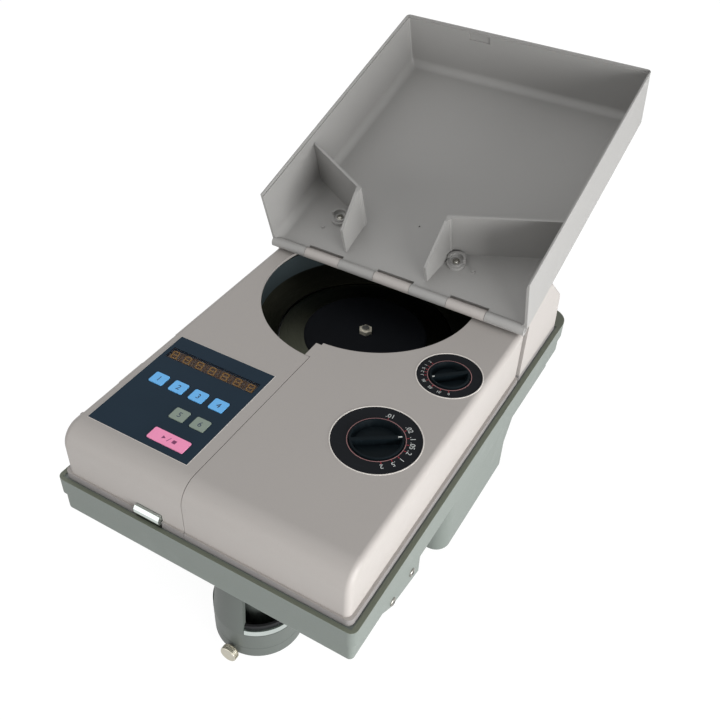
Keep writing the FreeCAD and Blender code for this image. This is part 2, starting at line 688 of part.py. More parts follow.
def bowl_opening(side):
    """The round opening in one cover, deep enough to clear the wall along the seam."""
    low = f"(bowl_high - ({TOP_REAR}))"
    return rod("z", f"{side}_arc_x", f"{side}_arc_y", low, f"{side}_arc_radius", f"2 * over - {low}")


def bowl_clearance():
    """Room for the bowl wall under the covers."""
    return rod("z", "bowl_x", "bowl_y", "-over", f"{BOWL_OUT} + bowl_clear", "bowl_high + bowl_clear + over")


def key_places():
    """Label, centre and width of each key."""
    places = []
    for number in range(4):
        places.append((f"key_blue_{number + 1}", f"blue_x + {number} * key_pitch", "blue_y", "key_wide"))
    for number in range(2):
        places.append((f"key_grey_{number + 1}", f"grey_x + {number} * key_pitch", "grey_y", "key_wide"))
    places.append(("key_pink", "pink_x", "pink_y", "pink_wide"))
    return places


def around(x, y, wide, deep, extra, z0, z1):
    """A block centred on a point, grown by extra on each side."""
    half_x = f"(({wide}) / 2 + {extra})"
    half_y = f"(({deep}) / 2 + {extra})"
    return box(f"{x} - {half_x}", f"{x} + {half_x}", f"{y} - {half_y}", f"{y} + {half_y}", z0, z1)


def board_bosses(low, high):
    """Four bosses over the corners of the display board."""
    places = []
    for x in ("board_left + boss_inset", "board_right - boss_inset"):
        for y in ("board_front + boss_inset", "board_rear - boss_inset"):
            places.append(rod("z", x, y, low, "boss_radius", f"({high}) - ({low})"))
    return places


def left_cover():
    """Cover with the recess for the control panel and its half of the bowl opening."""
    edge = "seam_x - seam_gap / 2"
    outer = cover_form("-cover_half", edge, "x-", "left_round", "0")
    hollow = cover_form("-(cover_half - wall)", f"{edge} - wall", "x-", "left_round", "wall")
    foot_room = box("-(skirt_half - wall)", f"{edge} - wall", "wall", "cover_depth + over",
                    "-over", "skirt_height - wall")
    low_room = box(f"{edge} - wall - over", f"{edge} + over", "front_face + wall", "cover_depth + over",
                   "-over", "seam_wall_low")
    grip_back = box("-(cover_half - wall / 2)", "-(cover_half - grip_in - wall)", "grip_front - wall",
                    "grip_rear + wall", "top_front - grip_tall - wall", "top_front - wall / 2")
    shell = cut(fuse(outer, skirt("-skirt_half", edge, "x-")), hollow, foot_room, low_room)
    bosses = in_frame("top", *board_bosses("-board_drop", "-wall / 2"))
    solid = fuse(shell, grip_back, bosses)
    recess = box("panel_left - panel_gap", "panel_right + panel_gap", "panel_front - panel_gap",
                 "panel_rear + panel_gap", PANEL_LOW, "over")
    window = box("window_left + window_edge", "window_right - window_edge", "window_front + window_edge",
                 "window_rear - window_edge", "-wall - over", "0")
    stems = [rod("z", x, y, "-wall - over", "stem_radius + stem_gap", "wall + over")
             for label, x, y, wide in key_places()]
    side_out = "-cover_half - over"
    grip_low = box(side_out, "-cover_half + grip_in", "grip_front", "grip_pad_front", "-grip_tall", "over")
    grip_mid = box(side_out, "-cover_half + grip_in - grip_bump", "grip_pad_front", "grip_pad_rear",
                   "-grip_tall", "over")
    grip_high = box(side_out, "-cover_half + grip_in", "grip_pad_rear", "grip_rear", "-grip_tall", "over")
    tools = in_frame("top", fuse(recess, window, *stems), bowl_opening("left"), fuse(grip_low, grip_mid,
            grip_high))
    catch_room = box("catch_left - catch_gap", "catch_right + catch_gap", "-over", "front_face + wall + over",
                     "-over", "catch_top + catch_gap")
    node("left_cover", "machine", cut(solid, tools, bowl_clearance(), catch_room))


def right_cover():
    """Cover with the dials, the tongue at the seam and its part of the bowl opening."""
    edge = "seam_x + seam_gap / 2"
    outer = cover_form(edge, "cover_half", "x+", "right_round", "0")
    hollow = cover_form(f"{edge} + wall", "cover_half - wall", "x+", "right_round", "wall")
    foot_room = box(f"{edge} + wall", "skirt_half - wall", "wall", "cover_depth + over",
                    "-over", "skirt_height - wall")
    low_room = box(f"{edge} - over", f"{edge} + wall + over", "front_face + wall", "cover_depth + over",
                   "-over", "seam_wall_low")
    shell = cut(fuse(outer, skirt(edge, "skirt_half", "x+")), hollow, foot_room, low_room)
    tongue = box("seam_x - tongue_out", "seam_x + wall", "tongue_front", "tongue_rear", "-wall", "0")
    large_seat = rod("z", "large_x", "large_y", "-(plate_thick + plate_sink)", "large_plate + plate_gap",
                     "wall + over")
    small_seat = rod("z", "small_x", "small_y", "-(plate_thick + plate_sink)", "small_plate + plate_gap",
                     "wall + over")
    large_bore = rod("z", "large_x", "large_y", "-wall - over", "large_knob_radius + knob_gap",
                     "wall + 2 * over")
    small_bore = rod("z", "small_x", "small_y", "-wall - over", "small_knob_radius + knob_gap",
                     "wall + 2 * over")
    seats = in_frame("top", large_seat, small_seat)
    bores = in_frame("top", large_bore, small_bore)
    body = fuse(cut(shell, in_frame("top", bowl_opening("right")), bowl_clearance()), in_frame("top", tongue))
    node("right_cover", "machine", cut(body, seats, bores))


def block_outline(inset):
    """Side outline of the rear block under the opened lid."""
    slope = "tan(lid_tilt * 1deg)"
    top = f"(hinge_z - lid_rest_gap / {LID_COS} - {inset})"
    front = f"(block_front + {inset})"
    foot = "0" if inset == "0" else "-over"
    return [
        (front, foot),
        (f"block_foot - {inset}", foot),
        (f"block_back_y - {inset}", f"block_back_z - {inset} / 2"),
        (f"block_peak - {inset} / 2", f"{top} + (block_peak - hinge_y) * {slope}"),
        (front, f"{top} + (block_front - hinge_y) * {slope}"),
    ]


def knuckle(number, gap):
    """Lowest X and length of one of the seven knuckles."""
    pitch = "(2 * barrel_half / 7)"
    return f"-barrel_half + {number} * {pitch} + {gap} / 2", f"{pitch} - {gap}"


def barrel(numbers, y, z):
    """The knuckles of one hinge leaf."""
    parts = []
    for number in numbers:
        start, length = knuckle(number, "knuckle_gap")
        parts.append(rod("x", start, y, z, "barrel_radius", length))
    return parts


def rear_block():
    """Rear cover that carries the hinge and props the opened lid."""
    outer = prism("YZ", block_outline("0"), "-block_half", "block_half")
    doc.recompute()
    edges = outer.Tip.Shape.Edges
    across = [(number, edge) for number, edge in enumerate(edges, start=1)
              if abs(edge.Vertexes[0].X - edge.Vertexes[-1].X) > size("block_half")]
    across.sort(key=lambda pair: pair[1].CenterOfMass.z)
    for radius, pick in (("block_peak_round", across[-1]), ("block_back_round", across[2])):
        target = pick[1].CenterOfMass
        doc.recompute()
        tip = outer.Tip
        names = [f"Edge{n}" for n, edge in enumerate(tip.Shape.Edges, start=1)
                 if (edge.CenterOfMass - target).Length < size("over")]
        rounding = outer.newObject("PartDesign::Fillet", "rounding")
        rounding.Base = (tip, names)
        bind(rounding, Radius=radius)
    soften(outer, "block_side_round", (("x-",), ("z-", "y-")), (("x+",), ("z-", "y-")))
    hollow = prism("YZ", block_outline("wall"), "-(block_half - wall)", "block_half - wall")
    arch = rod("z", "bowl_x", "bowl_y", "-over", f"{BOWL_OUT} + 2 * bowl_clear", "block_arch_high + over")
    deck_room = box("-(deck_half + bowl_clear)", "deck_half + bowl_clear", "block_front - over",
                    "block_front + wall + over", "-over", f"{DECK_TOP} + bowl_clear")
    arms = []
    for number in (1, 3, 5):
        start, length = knuckle(number, "knuckle_gap")
        arms.append(box(start, f"{start} + {length}", "hinge_y", "block_front + wall / 2",
                        "hinge_z - barrel_radius", "hinge_z - lid_rest_gap"))
    leaf = fuse(cut(outer, hollow, arch, deck_room), *arms, *barrel((1, 3, 5), "hinge_y", "hinge_z"))
    bore = rod("x", "-lid_half", "hinge_y", "hinge_z", "pin_radius + run_gap", "2 * lid_half")
    node("rear_block", "machine", cut(leaf, bore))


def lid_room(gap):
    """Room inside the lid, its upright corners and its foot rounded, kept off the side walls by a gap."""
    side = f"lid_half - lid_wall - {gap}"
    room = block(f"-({side})", side, "-over", "lid_long - lid_wall", "lid_floor", "lid_high + over")
    soften(room, "lid_corner - lid_wall", (("y+", "x-"), ()), (("y+", "x+"), ()))
    soften(room, "lid_cove", (("y+", "z-"), ()))
    return room


def hopper_lid():
    """Tray-like lid: floor, three walls, far catch pocket and four knuckles of the hinge."""
    outer = block("-lid_half", "lid_half", "0", "lid_long", "0", "lid_high")
    soften(outer, "lid_corner", (("y+", "x-"), ()), (("y+", "x+"), ()))
    soften(outer, "lid_edge", (("z-",), ("y-",)))
    step = block("-(lid_half - lip_deep)", "lid_half - lip_deep", "-over", "lid_long - lip_deep",
                 "lid_high - lip_tall", "lid_high + over")
    slot = box("slot_left", "slot_right", "lid_long - lid_wall - over", "lid_long - lid_wall + slot_deep",
               "slot_low", "slot_high")
    drain = rod("z", "drain_x", "drain_far", "-over", "drain_radius", "lid_floor + 2 * over")
    notches = []
    for number in (1, 3, 5):
        start, length = knuckle(number, "0")
        notches.append(box(f"{start} - knuckle_gap / 2", f"{start} + {length} + knuckle_gap / 2",
                           "-barrel_radius - over", "notch_deep", "-barrel_radius - over",
                           "barrel_radius + over"))
    pegs = [rod("z", "left_peg_x", "left_peg_far", "lid_floor / 2", "peg_radius", "lid_floor / 2 + peg_tall"),
            rod("z", "right_peg_x", "right_peg_far", "lid_floor / 2", "peg_radius",
                    "lid_floor / 2 + peg_tall")]
    shell = cut(outer, lid_room("0"), step, slot, drain, *notches)
    bore = rod("x", "-lid_half - over", "0", "0", "pin_radius + run_gap", "2 * (lid_half + over)")
    node("hopper_lid", "lid", cut(fuse(shell, *pegs, *barrel((0, 2, 4, 6), "0", "0")), bore))


def hinge_pin():
    """Long pin through all knuckles."""
    length = "2 * (barrel_half - pin_short)"
    node("hinge_pin", "machine", rod("x", "-(barrel_half - pin_short)", "hinge_y", "hinge_z",
            "pin_radius", length))


def upright(x0, y0, x1, y1, high):
    """A thin upright panel between two points of the lid's floor."""
    long = f"sqrt((({x1}) - ({x0}))^2 + (({y1}) - ({y0}))^2)"
    item = doc.addObject("Part::Box", "panel")
    bind(item, Length=long, Width="guide_thick", Height=f"({high}) - lid_floor",
         Placement__Rotation__Angle=f"atan((({y1}) - ({y0})) / (({x1}) - ({x0})))")
    at(item, x0, y0, "lid_floor")
    return item


def coin_guide(side):
    """One guide: a panel from the wall, a panel towards the hinge, and a lug with its screw hole."""
    corner_x = f"{side}_corner_x"
    corner_far = f"{side}_corner_far"
    end_far = f"{side}_end_far"
    lug_x = f"{side}_lug_x"
    lug_far = f"{side}_lug_far"
    reach = "(lid_half - lid_wall - guide_gap)"
    beyond = cut(box("-lid_half", "lid_half", "0", "lid_long", "0", "lid_high"), lid_room("guide_gap"))
    if side == "left":
        across = upright(f"-{reach}", "left_wall_far", corner_x, corner_far, "guide_high")
        inner = f"{corner_x} - guide_thick"
    else:
        across = upright(corner_x, corner_far, reach, "right_wall_far", "guide_high")
        inner = corner_x
    lean = f"({side}_end_x - {corner_x})"
    along = prism("XY", [
        (inner, corner_far),
        (f"{inner} + {lean}", end_far),
        (f"{inner} + {lean} + guide_thick", end_far),
        (f"{inner} + guide_thick", corner_far),
    ], "lid_floor", "guide_high")
    joint = rod("z", f"{inner} + guide_thick / 2", corner_far, "lid_floor", "guide_thick",
            "guide_high - lid_floor")
    slope = prism("YZ", [
        (f"{corner_far} - 2 * guide_thick", "guide_high"),
        (f"{end_far} - over", f"{side}_end_high"),
        (f"{end_far} - over", "guide_high + over"),
        (f"{corner_far} - 2 * guide_thick", "guide_high + over"),
    ], f"{inner} - lug_radius", f"{inner} + guide_thick + lug_radius")
    lug = rod("z", lug_x, lug_far, "lid_floor", "lug_radius", "lug_tall")
    rim = tube("z", lug_x, lug_far, "lid_floor", "lug_radius + lug_rim", "lug_radius", "lug_rim_tall")
    rim_cut = box(f"{lug_x} - 2 * lug_radius", f"{lug_x} + 2 * lug_radius", f"{lug_far} - 2 * lug_radius",
                  lug_far, "lid_floor + lug_tall", "lid_floor + 2 * lug_rim_tall")
    share = f"(({lug_x} - {corner_x}) / ({'-' if side == 'left' else ''}{reach} - {corner_x}))"
    panel_far = f"({corner_far} + {share} * ({side}_wall_far - {corner_far}))"
    web = box(f"{lug_x} - web_wide / 2", f"{lug_x} + web_wide / 2", lug_far, panel_far,
              "lid_floor", "lid_floor + lug_tall")
    hole = rod("z", lug_x, lug_far, "0", "screw_radius + run_gap", "lid_floor + lug_rim_tall")
    body = fuse(cut(across, beyond), cut(along, slope), joint, lug, cut(rim, rim_cut), web)
    node(f"{side}_guide", "lid", cut(body, hole))


def lid_screw(side):
    """Pan-head screw that holds a guide on the lid's floor."""
    head_low = "lid_floor + lug_tall"
    shank = rod("z", f"{side}_lug_x", f"{side}_lug_far", "lid_floor", "screw_radius", "lug_tall")
    head = rod("z", f"{side}_lug_x", f"{side}_lug_far", head_low, "screw_head", "screw_head_tall")
    cross = [around(f"{side}_lug_x", f"{side}_lug_far", "screw_head", "screw_radius / 3", "0",
                    f"{head_low} + screw_head_tall / 2", f"{head_low} + 2 * screw_head_tall"),
             around(f"{side}_lug_x", f"{side}_lug_far", "screw_radius / 3", "screw_head", "0",
                    f"{head_low} + screw_head_tall / 2", f"{head_low} + 2 * screw_head_tall")]
    return cut(fuse(shank, head), *cross)


def guide_screws():
    """Two screws that hold the guides."""
    node("guide_screws", "lid", lid_screw("left"), lid_screw("right"))


def bowl_wall():
    """Upright ring under the opening."""
    node("bowl_wall", "machine",
         tube("z", "bowl_x", "bowl_y", "bowl_low", BOWL_OUT, "bowl_radius", "bowl_high - bowl_low"))


def bowl_cone():
    """Brushed sheet cone on its own skirt, with the coin exit at the front."""
    inner = f"({BOWL_OUT} - cone_thick)"
    ring = turned([
        ("cone_lip_radius", "cone_lip_high - cone_thick"),
        (inner, "bowl_low - cone_thick * 2"),
        (inner, DECK_TOP),
        (BOWL_OUT, DECK_TOP),
        (BOWL_OUT, "bowl_low"),
        ("bowl_radius", "bowl_low"),
        ("cone_lip_radius", "cone_lip_high"),
    ], "bowl_x", "bowl_y")
    gate = box("exit_left", "exit_right", f"bowl_y - {BOWL_OUT} - over", "bowl_y - cone_lip_radius / 2",
               f"{DECK_TOP} - over", "exit_high")
    node("bowl_cone", "machine", cut(ring, gate))


def coin_disc():
    """Metal disc that carries the coins round."""
    disc = turned([
        ("shaft_radius", "disc_low"),
        ("disc_radius", "disc_low"),
        ("disc_radius", DISC_TOP),
        ("shaft_radius", DISC_TOP),
    ], "bowl_x", "bowl_y")
    node("coin_disc", "machine", disc)


def disc_pad():
    """Black pad that grips the coins, slightly raised to its middle."""
    edge_top = f"{DISC_TOP} + pad_thick"
    pad = turned([
        ("stud_radius", DISC_TOP),
        ("pad_radius", DISC_TOP),
        ("pad_radius", f"{DISC_TOP} + pad_thick / 2"),
        ("pad_radius - pad_thick", edge_top),
        ("2 * nut_radius", f"{edge_top} + pad_crown"),
        ("stud_radius", f"{edge_top} + pad_crown"),
    ], "bowl_x", "bowl_y")
    node("disc_pad", "machine", pad)


def disc_nut():
    """Hexagon nut on the disc shaft."""
    corners = []
    for number in range(6):
        corners.append((f"bowl_x + nut_radius * cos({number} * 60deg)",
                f"bowl_y + nut_radius * sin({number} * 60deg)"))
    low = f"{DISC_TOP} + pad_thick + pad_crown"
    nut = prism("XY", corners, low, f"{low} + nut_thick")
    node("disc_nut", "machine", cut(nut, rod("z", "bowl_x", "bowl_y", low, "stud_radius", "nut_thick")))


def disc_shaft():
    """Shaft from the driven pulley up to the disc, with a threaded end for the nut."""
    low = "(pulley_low - shaft_tip)"
    shank = rod("z", "bowl_x", "bowl_y", low, "shaft_radius", f"{DISC_TOP} - {low}")
    stud = rod("z", "bowl_x", "bowl_y", DISC_TOP, "stud_radius", f"{NUT_TOP} + shaft_tip - {DISC_TOP}")
    node("disc_shaft", "machine", fuse(shank, stud))


def deck_plate():
    """Steel plate that carries bowl, bearings, motor and coin path."""
    plate = box("-deck_half", "deck_half", "deck_front", "deck_rear", "deck_low", DECK_TOP)
    tube_low = "deck_low - tube_long"
    holder = rod("z", "bowl_x", "bowl_y", tube_low, "bearing_radius + tube_wall", "tube_long")
    gate_pad = box("small_x - gate_pad_wide / 2", "small_x + gate_pad_wide / 2", "gate_pad_front",
                   "gate_pad_rear", "deck_low", "gate_pad_top")
    rail_pad = box("rail_pad_left", "rail_pad_right", "rail_pad_front", "rail_pad_rear", "deck_low",
            TRACK_TOP)
    bore = rod("z", "bowl_x", "bowl_y", f"{tube_low} - over", "bearing_radius",
            f"tube_long + deck_thick + 2 * over")
    chute_hole = rod("z", "chute_x", "chute_y", "deck_low - over", "mouth_bore - deck_lip",
            "deck_thick + 2 * over")
    motor_hole = rod("z", "motor_x", "motor_y", "deck_low - over", "2 * motor_shaft_radius",
            "deck_thick + 2 * over")
    node("deck_plate", "machine", cut(fuse(plate, holder, gate_pad, rail_pad), bore, chute_hole, motor_hole))


def shaft_bearings():
    """Two plain bearings in the tube under the deck."""
    low = "deck_low - tube_long"
    high = f"{DECK_TOP} - bearing_tall"
    node("shaft_bearings", "machine",
         tube("z", "bowl_x", "bowl_y", low, "bearing_radius", "shaft_radius + run_gap", "bearing_tall"),
         tube("z", "bowl_x", "bowl_y", high, "bearing_radius", "shaft_radius + run_gap", "bearing_tall"))


def pulley(x, y, seat, bore):
    """A flanged belt pulley."""
    rim = f"({seat} + pulley_flange)"
    low = "pulley_low"
    high = "(pulley_low + pulley_tall)"
    return turned([
        (bore, low),
        (rim, low),
        (rim, f"{low} + flange_thick"),
        (seat, f"{low} + flange_thick"),
        (seat, f"{high} - flange_thick"),
        (rim, f"{high} - flange_thick"),
        (rim, high),
        (bore, high),
    ], x, y)


def driven_pulley():
    """Pulley on the disc shaft."""
    node("driven_pulley", "machine", pulley("bowl_x", "bowl_y", "driven_radius", "shaft_radius"))


def motor_pulley():
    """Pulley with the rotor's shaft."""
    shaft = rod("z", "motor_x", "motor_y", "pulley_low", "motor_shaft_radius", f"{DECK_TOP} - pulley_low")
    node("motor_pulley", "machine", fuse(pulley("motor_x", "motor_y", "drive_radius",
            "motor_shaft_radius"), shaft))


def drive_motor():
    """Motor that hangs under the deck."""
    low = "deck_low - motor_tall"
    can = rod("z", "motor_x", "motor_y", low, "motor_radius", "motor_tall")
    flange = box("motor_x - motor_radius - flange_thick", "motor_x + motor_radius + flange_thick",
                 "motor_y - motor_radius / 2", "motor_y + motor_radius / 2",
                 "deck_low - 2 * flange_thick", "deck_low")
    bore = rod("z", "motor_x", "motor_y", f"{low} - over", "motor_shaft_radius + run_gap",
            "motor_tall + 2 * over")
    node("drive_motor", "machine", cut(fuse(can, flange), bore))


def belt_face(first, second, radius_a, radius_b):
    """Face inside a belt run round two pulleys: two arcs and two tangent lines."""
    gap = second - first
    lean = math.acos((radius_a - radius_b) / gap.Length)
    heading = math.atan2(gap.y, gap.x)

    def on(centre, radius, angle):
        return centre + V(radius * math.cos(angle), radius * math.sin(angle), 0)

    up = heading + lean
    down = heading - lean
    far = Part.Arc(on(first, radius_a, up), on(first, radius_a, heading + math.pi), on(first, radius_a, down))
    near = Part.Arc(on(second, radius_b, down), on(second, radius_b, heading), on(second, radius_b, up))
    lower = Part.LineSegment(on(first, radius_a, down), on(second, radius_b, down))
    upper = Part.LineSegment(on(second, radius_b, up), on(first, radius_a, up))
    return Part.Face(Part.Wire([far.toShape(), lower.toShape(), near.toShape(), upper.toShape()]))


def belt_solid(first, second, radius_a, radius_b, thick, wide):
    """A flat belt standing on the XY plane."""
    outer = belt_face(first, second, radius_a + thick, radius_b + thick).extrude(V(0, 0, wide))
    inner = belt_face(first, second, radius_a, radius_b).extrude(V(0, 0, wide))
    return outer.cut(inner)


def drive_belt():
    """Belt from the motor pulley to the driven pulley."""
    gap = size("slide_gap")
    item = doc.addObject("Part::Feature", "drive_belt_loop")
    item.Shape = belt_solid(V(size("bowl_x"), size("bowl_y"), 0), V(size("motor_x"), size("motor_y"), 0),
                            size("driven_radius") + gap, size("drive_radius") + gap,
                            size("belt_thick"), size("belt_wide"))
    at(item, "0", "0", "pulley_low + (pulley_tall - belt_wide) / 2")
    node("drive_belt", "machine", item)


def feed_belt():
    """Belt over the coins, from the feed roller to the idler."""
    gap = size("slide_gap")
    radius = size("roller_radius") + gap
    item = doc.addObject("Part::Feature", "feed_belt_loop")
    wide = size("roller_wide") - 2 * size("flange_thick")
    loop = belt_solid(V(size("idler_y"), size("feed_z"), 0), V(size("feed_y"), size("feed_z"), 0),
                      radius, radius, size("feed_belt_thick"), wide)
    item.Shape = loop
    item.Placement = FreeCAD.Placement(V(size("roller_left") + size("flange_thick"), 0, 0),
                                       FreeCAD.Rotation(V(1, 1, 1), 120))
    node("feed_belt", "machine", item)


def roller(y, start, length):
    """A belt roller with low end flanges on its shaft."""
    drum = rod("x", "roller_left", y, "feed_z", "roller_radius", "roller_wide")
    ends = [rod("x", "roller_left", y, "feed_z", "roller_radius + flange_thick / 2", "flange_thick / 2"),
            rod("x", "roller_left + roller_wide - flange_thick / 2", y, "feed_z",
                "roller_radius + flange_thick / 2", "flange_thick / 2")]
    return fuse(drum, *ends, rod("x", start, y, "feed_z", "roller_shaft", length))


def feed_roller():
    """Roller on the feed motor's shaft."""
    node("feed_roller", "machine", roller("feed_y", "roller_left",
            "feed_motor_left + feed_motor_long / 2 - roller_left"))


def idler_roller():
    """Roller at the front end of the feed belt."""
    node("idler_roller", "machine", roller("idler_y", "ear_left", "roller_left + roller_wide - ear_left"))


def feed_motor():
    """Small motor beside the feed roller, on its saddle."""
    can = rod("x", "feed_motor_left", "feed_y", "feed_z", "feed_motor_radius", "feed_motor_long")
    saddle = box("feed_motor_left", "feed_motor_left + feed_motor_long", "feed_y - feed_saddle",
                 "feed_y + feed_saddle", DECK_TOP, "feed_z - feed_motor_radius / 2")
    bore = rod("x", "feed_motor_left - over", "feed_y", "feed_z", "roller_shaft + run_gap",
               "feed_motor_long / 2 + over + run_gap")
    node("feed_motor", "machine", cut(fuse(can, saddle), bore))


def coin_track():
    """Hardened strip that the coins slide on, with the fixed rail and the idler's ear."""
    strip = box("track_left", "track_right", "track_front", "track_rear", DECK_TOP, TRACK_TOP)
    ridge = box("ridge_right - ridge_wide", "ridge_right", "track_front", "track_rear",
                TRACK_TOP, f"{TRACK_TOP} + ridge_tall")
    ear = box("ear_left", "ear_left + ear_wide", "idler_y - ear_half", "idler_y + ear_half", DECK_TOP,
            "ear_high")
    bore = rod("x", "ear_left - over", "idler_y", "feed_z", "roller_shaft + run_gap", "ear_wide + 2 * over")
    node("coin_track", "machine", cut(fuse(strip, ridge, ear), bore))


def width_rail():
    """Sliding rail that sets the coin path's width, with its follower post."""
    low = f"{TRACK_TOP} + slide_gap"
    high = f"{low} + rail_thick"
    plate = box("rail_edge", "rail_right", "rail_front", "rail_rear", low, high)
    lip = box("rail_edge", "rail_edge + rail_thick", "rail_front", "rail_rear", high, f"{high} + rail_lip")
    post_x = "large_x - large_cam_rest - air_gap - post_radius"
    foot = box("rail_right - post_radius", f"{post_x} + post_radius", "large_y - 2 * post_radius",
               "large_y + 2 * post_radius", low, high)
    post = rod("z", post_x, "large_y", low, "post_radius", f"post_high - ({low})")
    node("width_rail", "machine", fuse(plate, lip, foot, post))


def thickness_gate():
    """Sliding gate that lets one layer of coins through, with its follower post."""
    high = "gate_low + gate_thick"
    post_y = "small_y - small_cam_rest - air_gap - post_radius"
    arm = box("gate_tip", "small_x + gate_stem_half", "gate_front", "gate_front + gate_wide", "gate_low",
            high)
    stem = box("small_x - gate_stem_half", "small_x + gate_stem_half", "gate_front",
               f"{post_y} + post_radius", "gate_low", high)
    post = rod("z", "small_x", post_y, "gate_low", "post_radius", "post_high - gate_low")
    node("thickness_gate", "machine", fuse(arm, stem, post))


def coin_sensor():
    """Sensor block beside the coin path."""
    block_part = box("sensor_left", "sensor_right", "sensor_front", "sensor_rear", TRACK_TOP, "sensor_high")
    node("coin_sensor", "machine", block_part)


def dial_plate(name):
    """Flat ring round a knob."""
    low = "-(plate_thick + plate_sink)"
    node(f"{name}_dial_plate", "top",
         tube("z", f"{name}_x", f"{name}_y", low, f"{name}_plate", f"{name}_knob_radius + knob_gap",
              "plate_thick"))


def knob(name):
    """Sunk knob: a cup, a grip across it between two finger hollows, and its shaft."""
    radius = f"{name}_knob_radius"
    rim_top = "(knob_proud - plate_sink)"
    floor = f"({rim_top} - knob_well)"
    low = f"({floor} - knob_floor)"
    cup = turned([
        ("0", low),
        (f"{radius} - knob_round", low),
        (radius, f"{low} + knob_round"),
        (radius, f"{rim_top} - knob_round"),
        (f"{radius} - knob_round", rim_top),
        (f"{radius} - knob_rim", rim_top),
        (f"{radius} - knob_rim - knob_lean", floor),
        ("0", floor),
    ], "0", "0")
    half = "(grip_wide / 2)"
    grip = prism("YZ", [
        (f"-{half} - grip_flare", floor),
        (f"{half} + grip_flare", floor),
        (half, rim_top),
        (f"-{half}", rim_top),
    ], f"-({radius} - knob_rim)", f"{radius} - knob_rim")
    holder = turn_about(fuse(cup, grip), f"{name}_x", f"{name}_y", f"{name}_angle")
    shaft = rod("z", f"{name}_x", f"{name}_y", "-cam_drop", f"{name}_shaft", f"cam_drop + {low}")
    node(f"{name}_knob", "top", fuse(holder, shaft))


def spiral_cam(name, follower):
    """Cam whose radius grows evenly with the angle; the follower lies in the direction given."""
    rest = size(f"{name}_cam_rest")
    pitch = size(f"{name}_cam_pitch")
    margin = math.radians(size("cam_margin_angle"))
    first = follower - math.radians(size(f"{name}_ahead_angle")) - margin
    last = follower + math.radians(size(f"{name}_back_angle")) + margin
    steps = 24
    points = []
    for step in range(steps + 1):
        angle = first + (last - first) * step / steps
        radius = rest + pitch * (follower - angle)
        points.append(V(radius * math.cos(angle), radius * math.sin(angle), 0))
    spiral = Part.BSplineCurve()
    spiral.interpolate(points)
    heel = last + (2 * math.pi - (last - first)) / 2
    heel_radius = rest - pitch * size(f"{name}_back_angle") * math.pi / 180
    back = Part.Arc(points[-1], V(heel_radius * math.cos(heel), heel_radius * math.sin(heel), 0), points[0])
    face = Part.Face(Part.Wire([spiral.toShape(), back.toShape()]))
    disc = face.extrude(V(0, 0, size("cam_thick")))
    bore = Part.makeCylinder(size(f"{name}_shaft"), size("cam_thick"))
    item = doc.addObject("Part::Feature", f"{name}_cam_disc")
    item.Shape = disc.cut(bore)
    at(item, f"{name}_x", f"{name}_y", "-cam_drop")
    return item


def cams():
    """Cams under the dials: they move the width rail and the thickness gate."""
    node("width_cam", "top", spiral_cam("large", math.pi))
    node("gate_cam", "top", spiral_cam("small", 3 * math.pi / 2))


def control_panel():
    """Thin plate with the display window and a hole for each key."""
    plate = box("panel_left", "panel_right", "panel_front", "panel_rear", PANEL_LOW, "panel_proud")
    window = box("window_left", "window_right", "window_front", "window_rear",
                 "panel_proud - window_sink - window_thick", "panel_proud + over")
    light = box("window_left + window_edge", "window_right - window_edge", "window_front + window_edge",
                "window_rear - window_edge", f"{PANEL_LOW} - over", "panel_proud")
    holes = [around(x, y, wide, "key_deep", "key_gap", f"{PANEL_LOW} - over", "panel_proud + over")
             for label, x, y, wide in key_places()]
    node("control_panel", "top", cut(plate, window, light, *holes))


def display_window():
    """Dark lens over the digits."""
    node("display_window", "top",
         box("window_left", "window_right", "window_front", "window_rear",
             "panel_proud - window_sink - window_thick", "panel_proud - window_sink"))


def display_module():
    """Block of seven digits under the window."""
    node("display_module", "top",
         box("window_left - module_margin", "window_right + module_margin", "window_front - module_margin",
             "window_rear + module_margin", "-board_drop", "-module_drop"))


def display_board():
    """Board that carries the digits and the key switches."""
    node("display_board", "top",
         box("board_left", "board_right", "board_front", "board_rear", "-board_drop - board_thick",
                 "-board_drop"))


def key_switches():
    """Seven push switches on the display board."""
    switches = [around(x, y, "2 * switch_half", "2 * switch_half", "0", "-board_drop", SWITCH_TOP)
                for label, x, y, wide in key_places()]
    node("key_switches", "top", *switches)


def keys():
    """Key caps with their stems."""
    for label, x, y, wide in key_places():
        cap = block(f"{x} - {wide} / 2", f"{x} + {wide} / 2", f"{y} - key_deep / 2", f"{y} + key_deep / 2",
                    KEY_LOW, "panel_proud + key_proud")
        soften(cap, "key_corner", (("x-", "y-"), ()), (("x-", "y+"), ()), (("x+", "y-"), ()), (("x+",
                "y+"), ()))
        stem_low = f"({SWITCH_TOP} + key_travel + switch_free)"
        stem = rod("z", x, y, stem_low, "stem_radius", f"{KEY_LOW} - {stem_low}")
        node(label, "top", fuse(cap, stem))


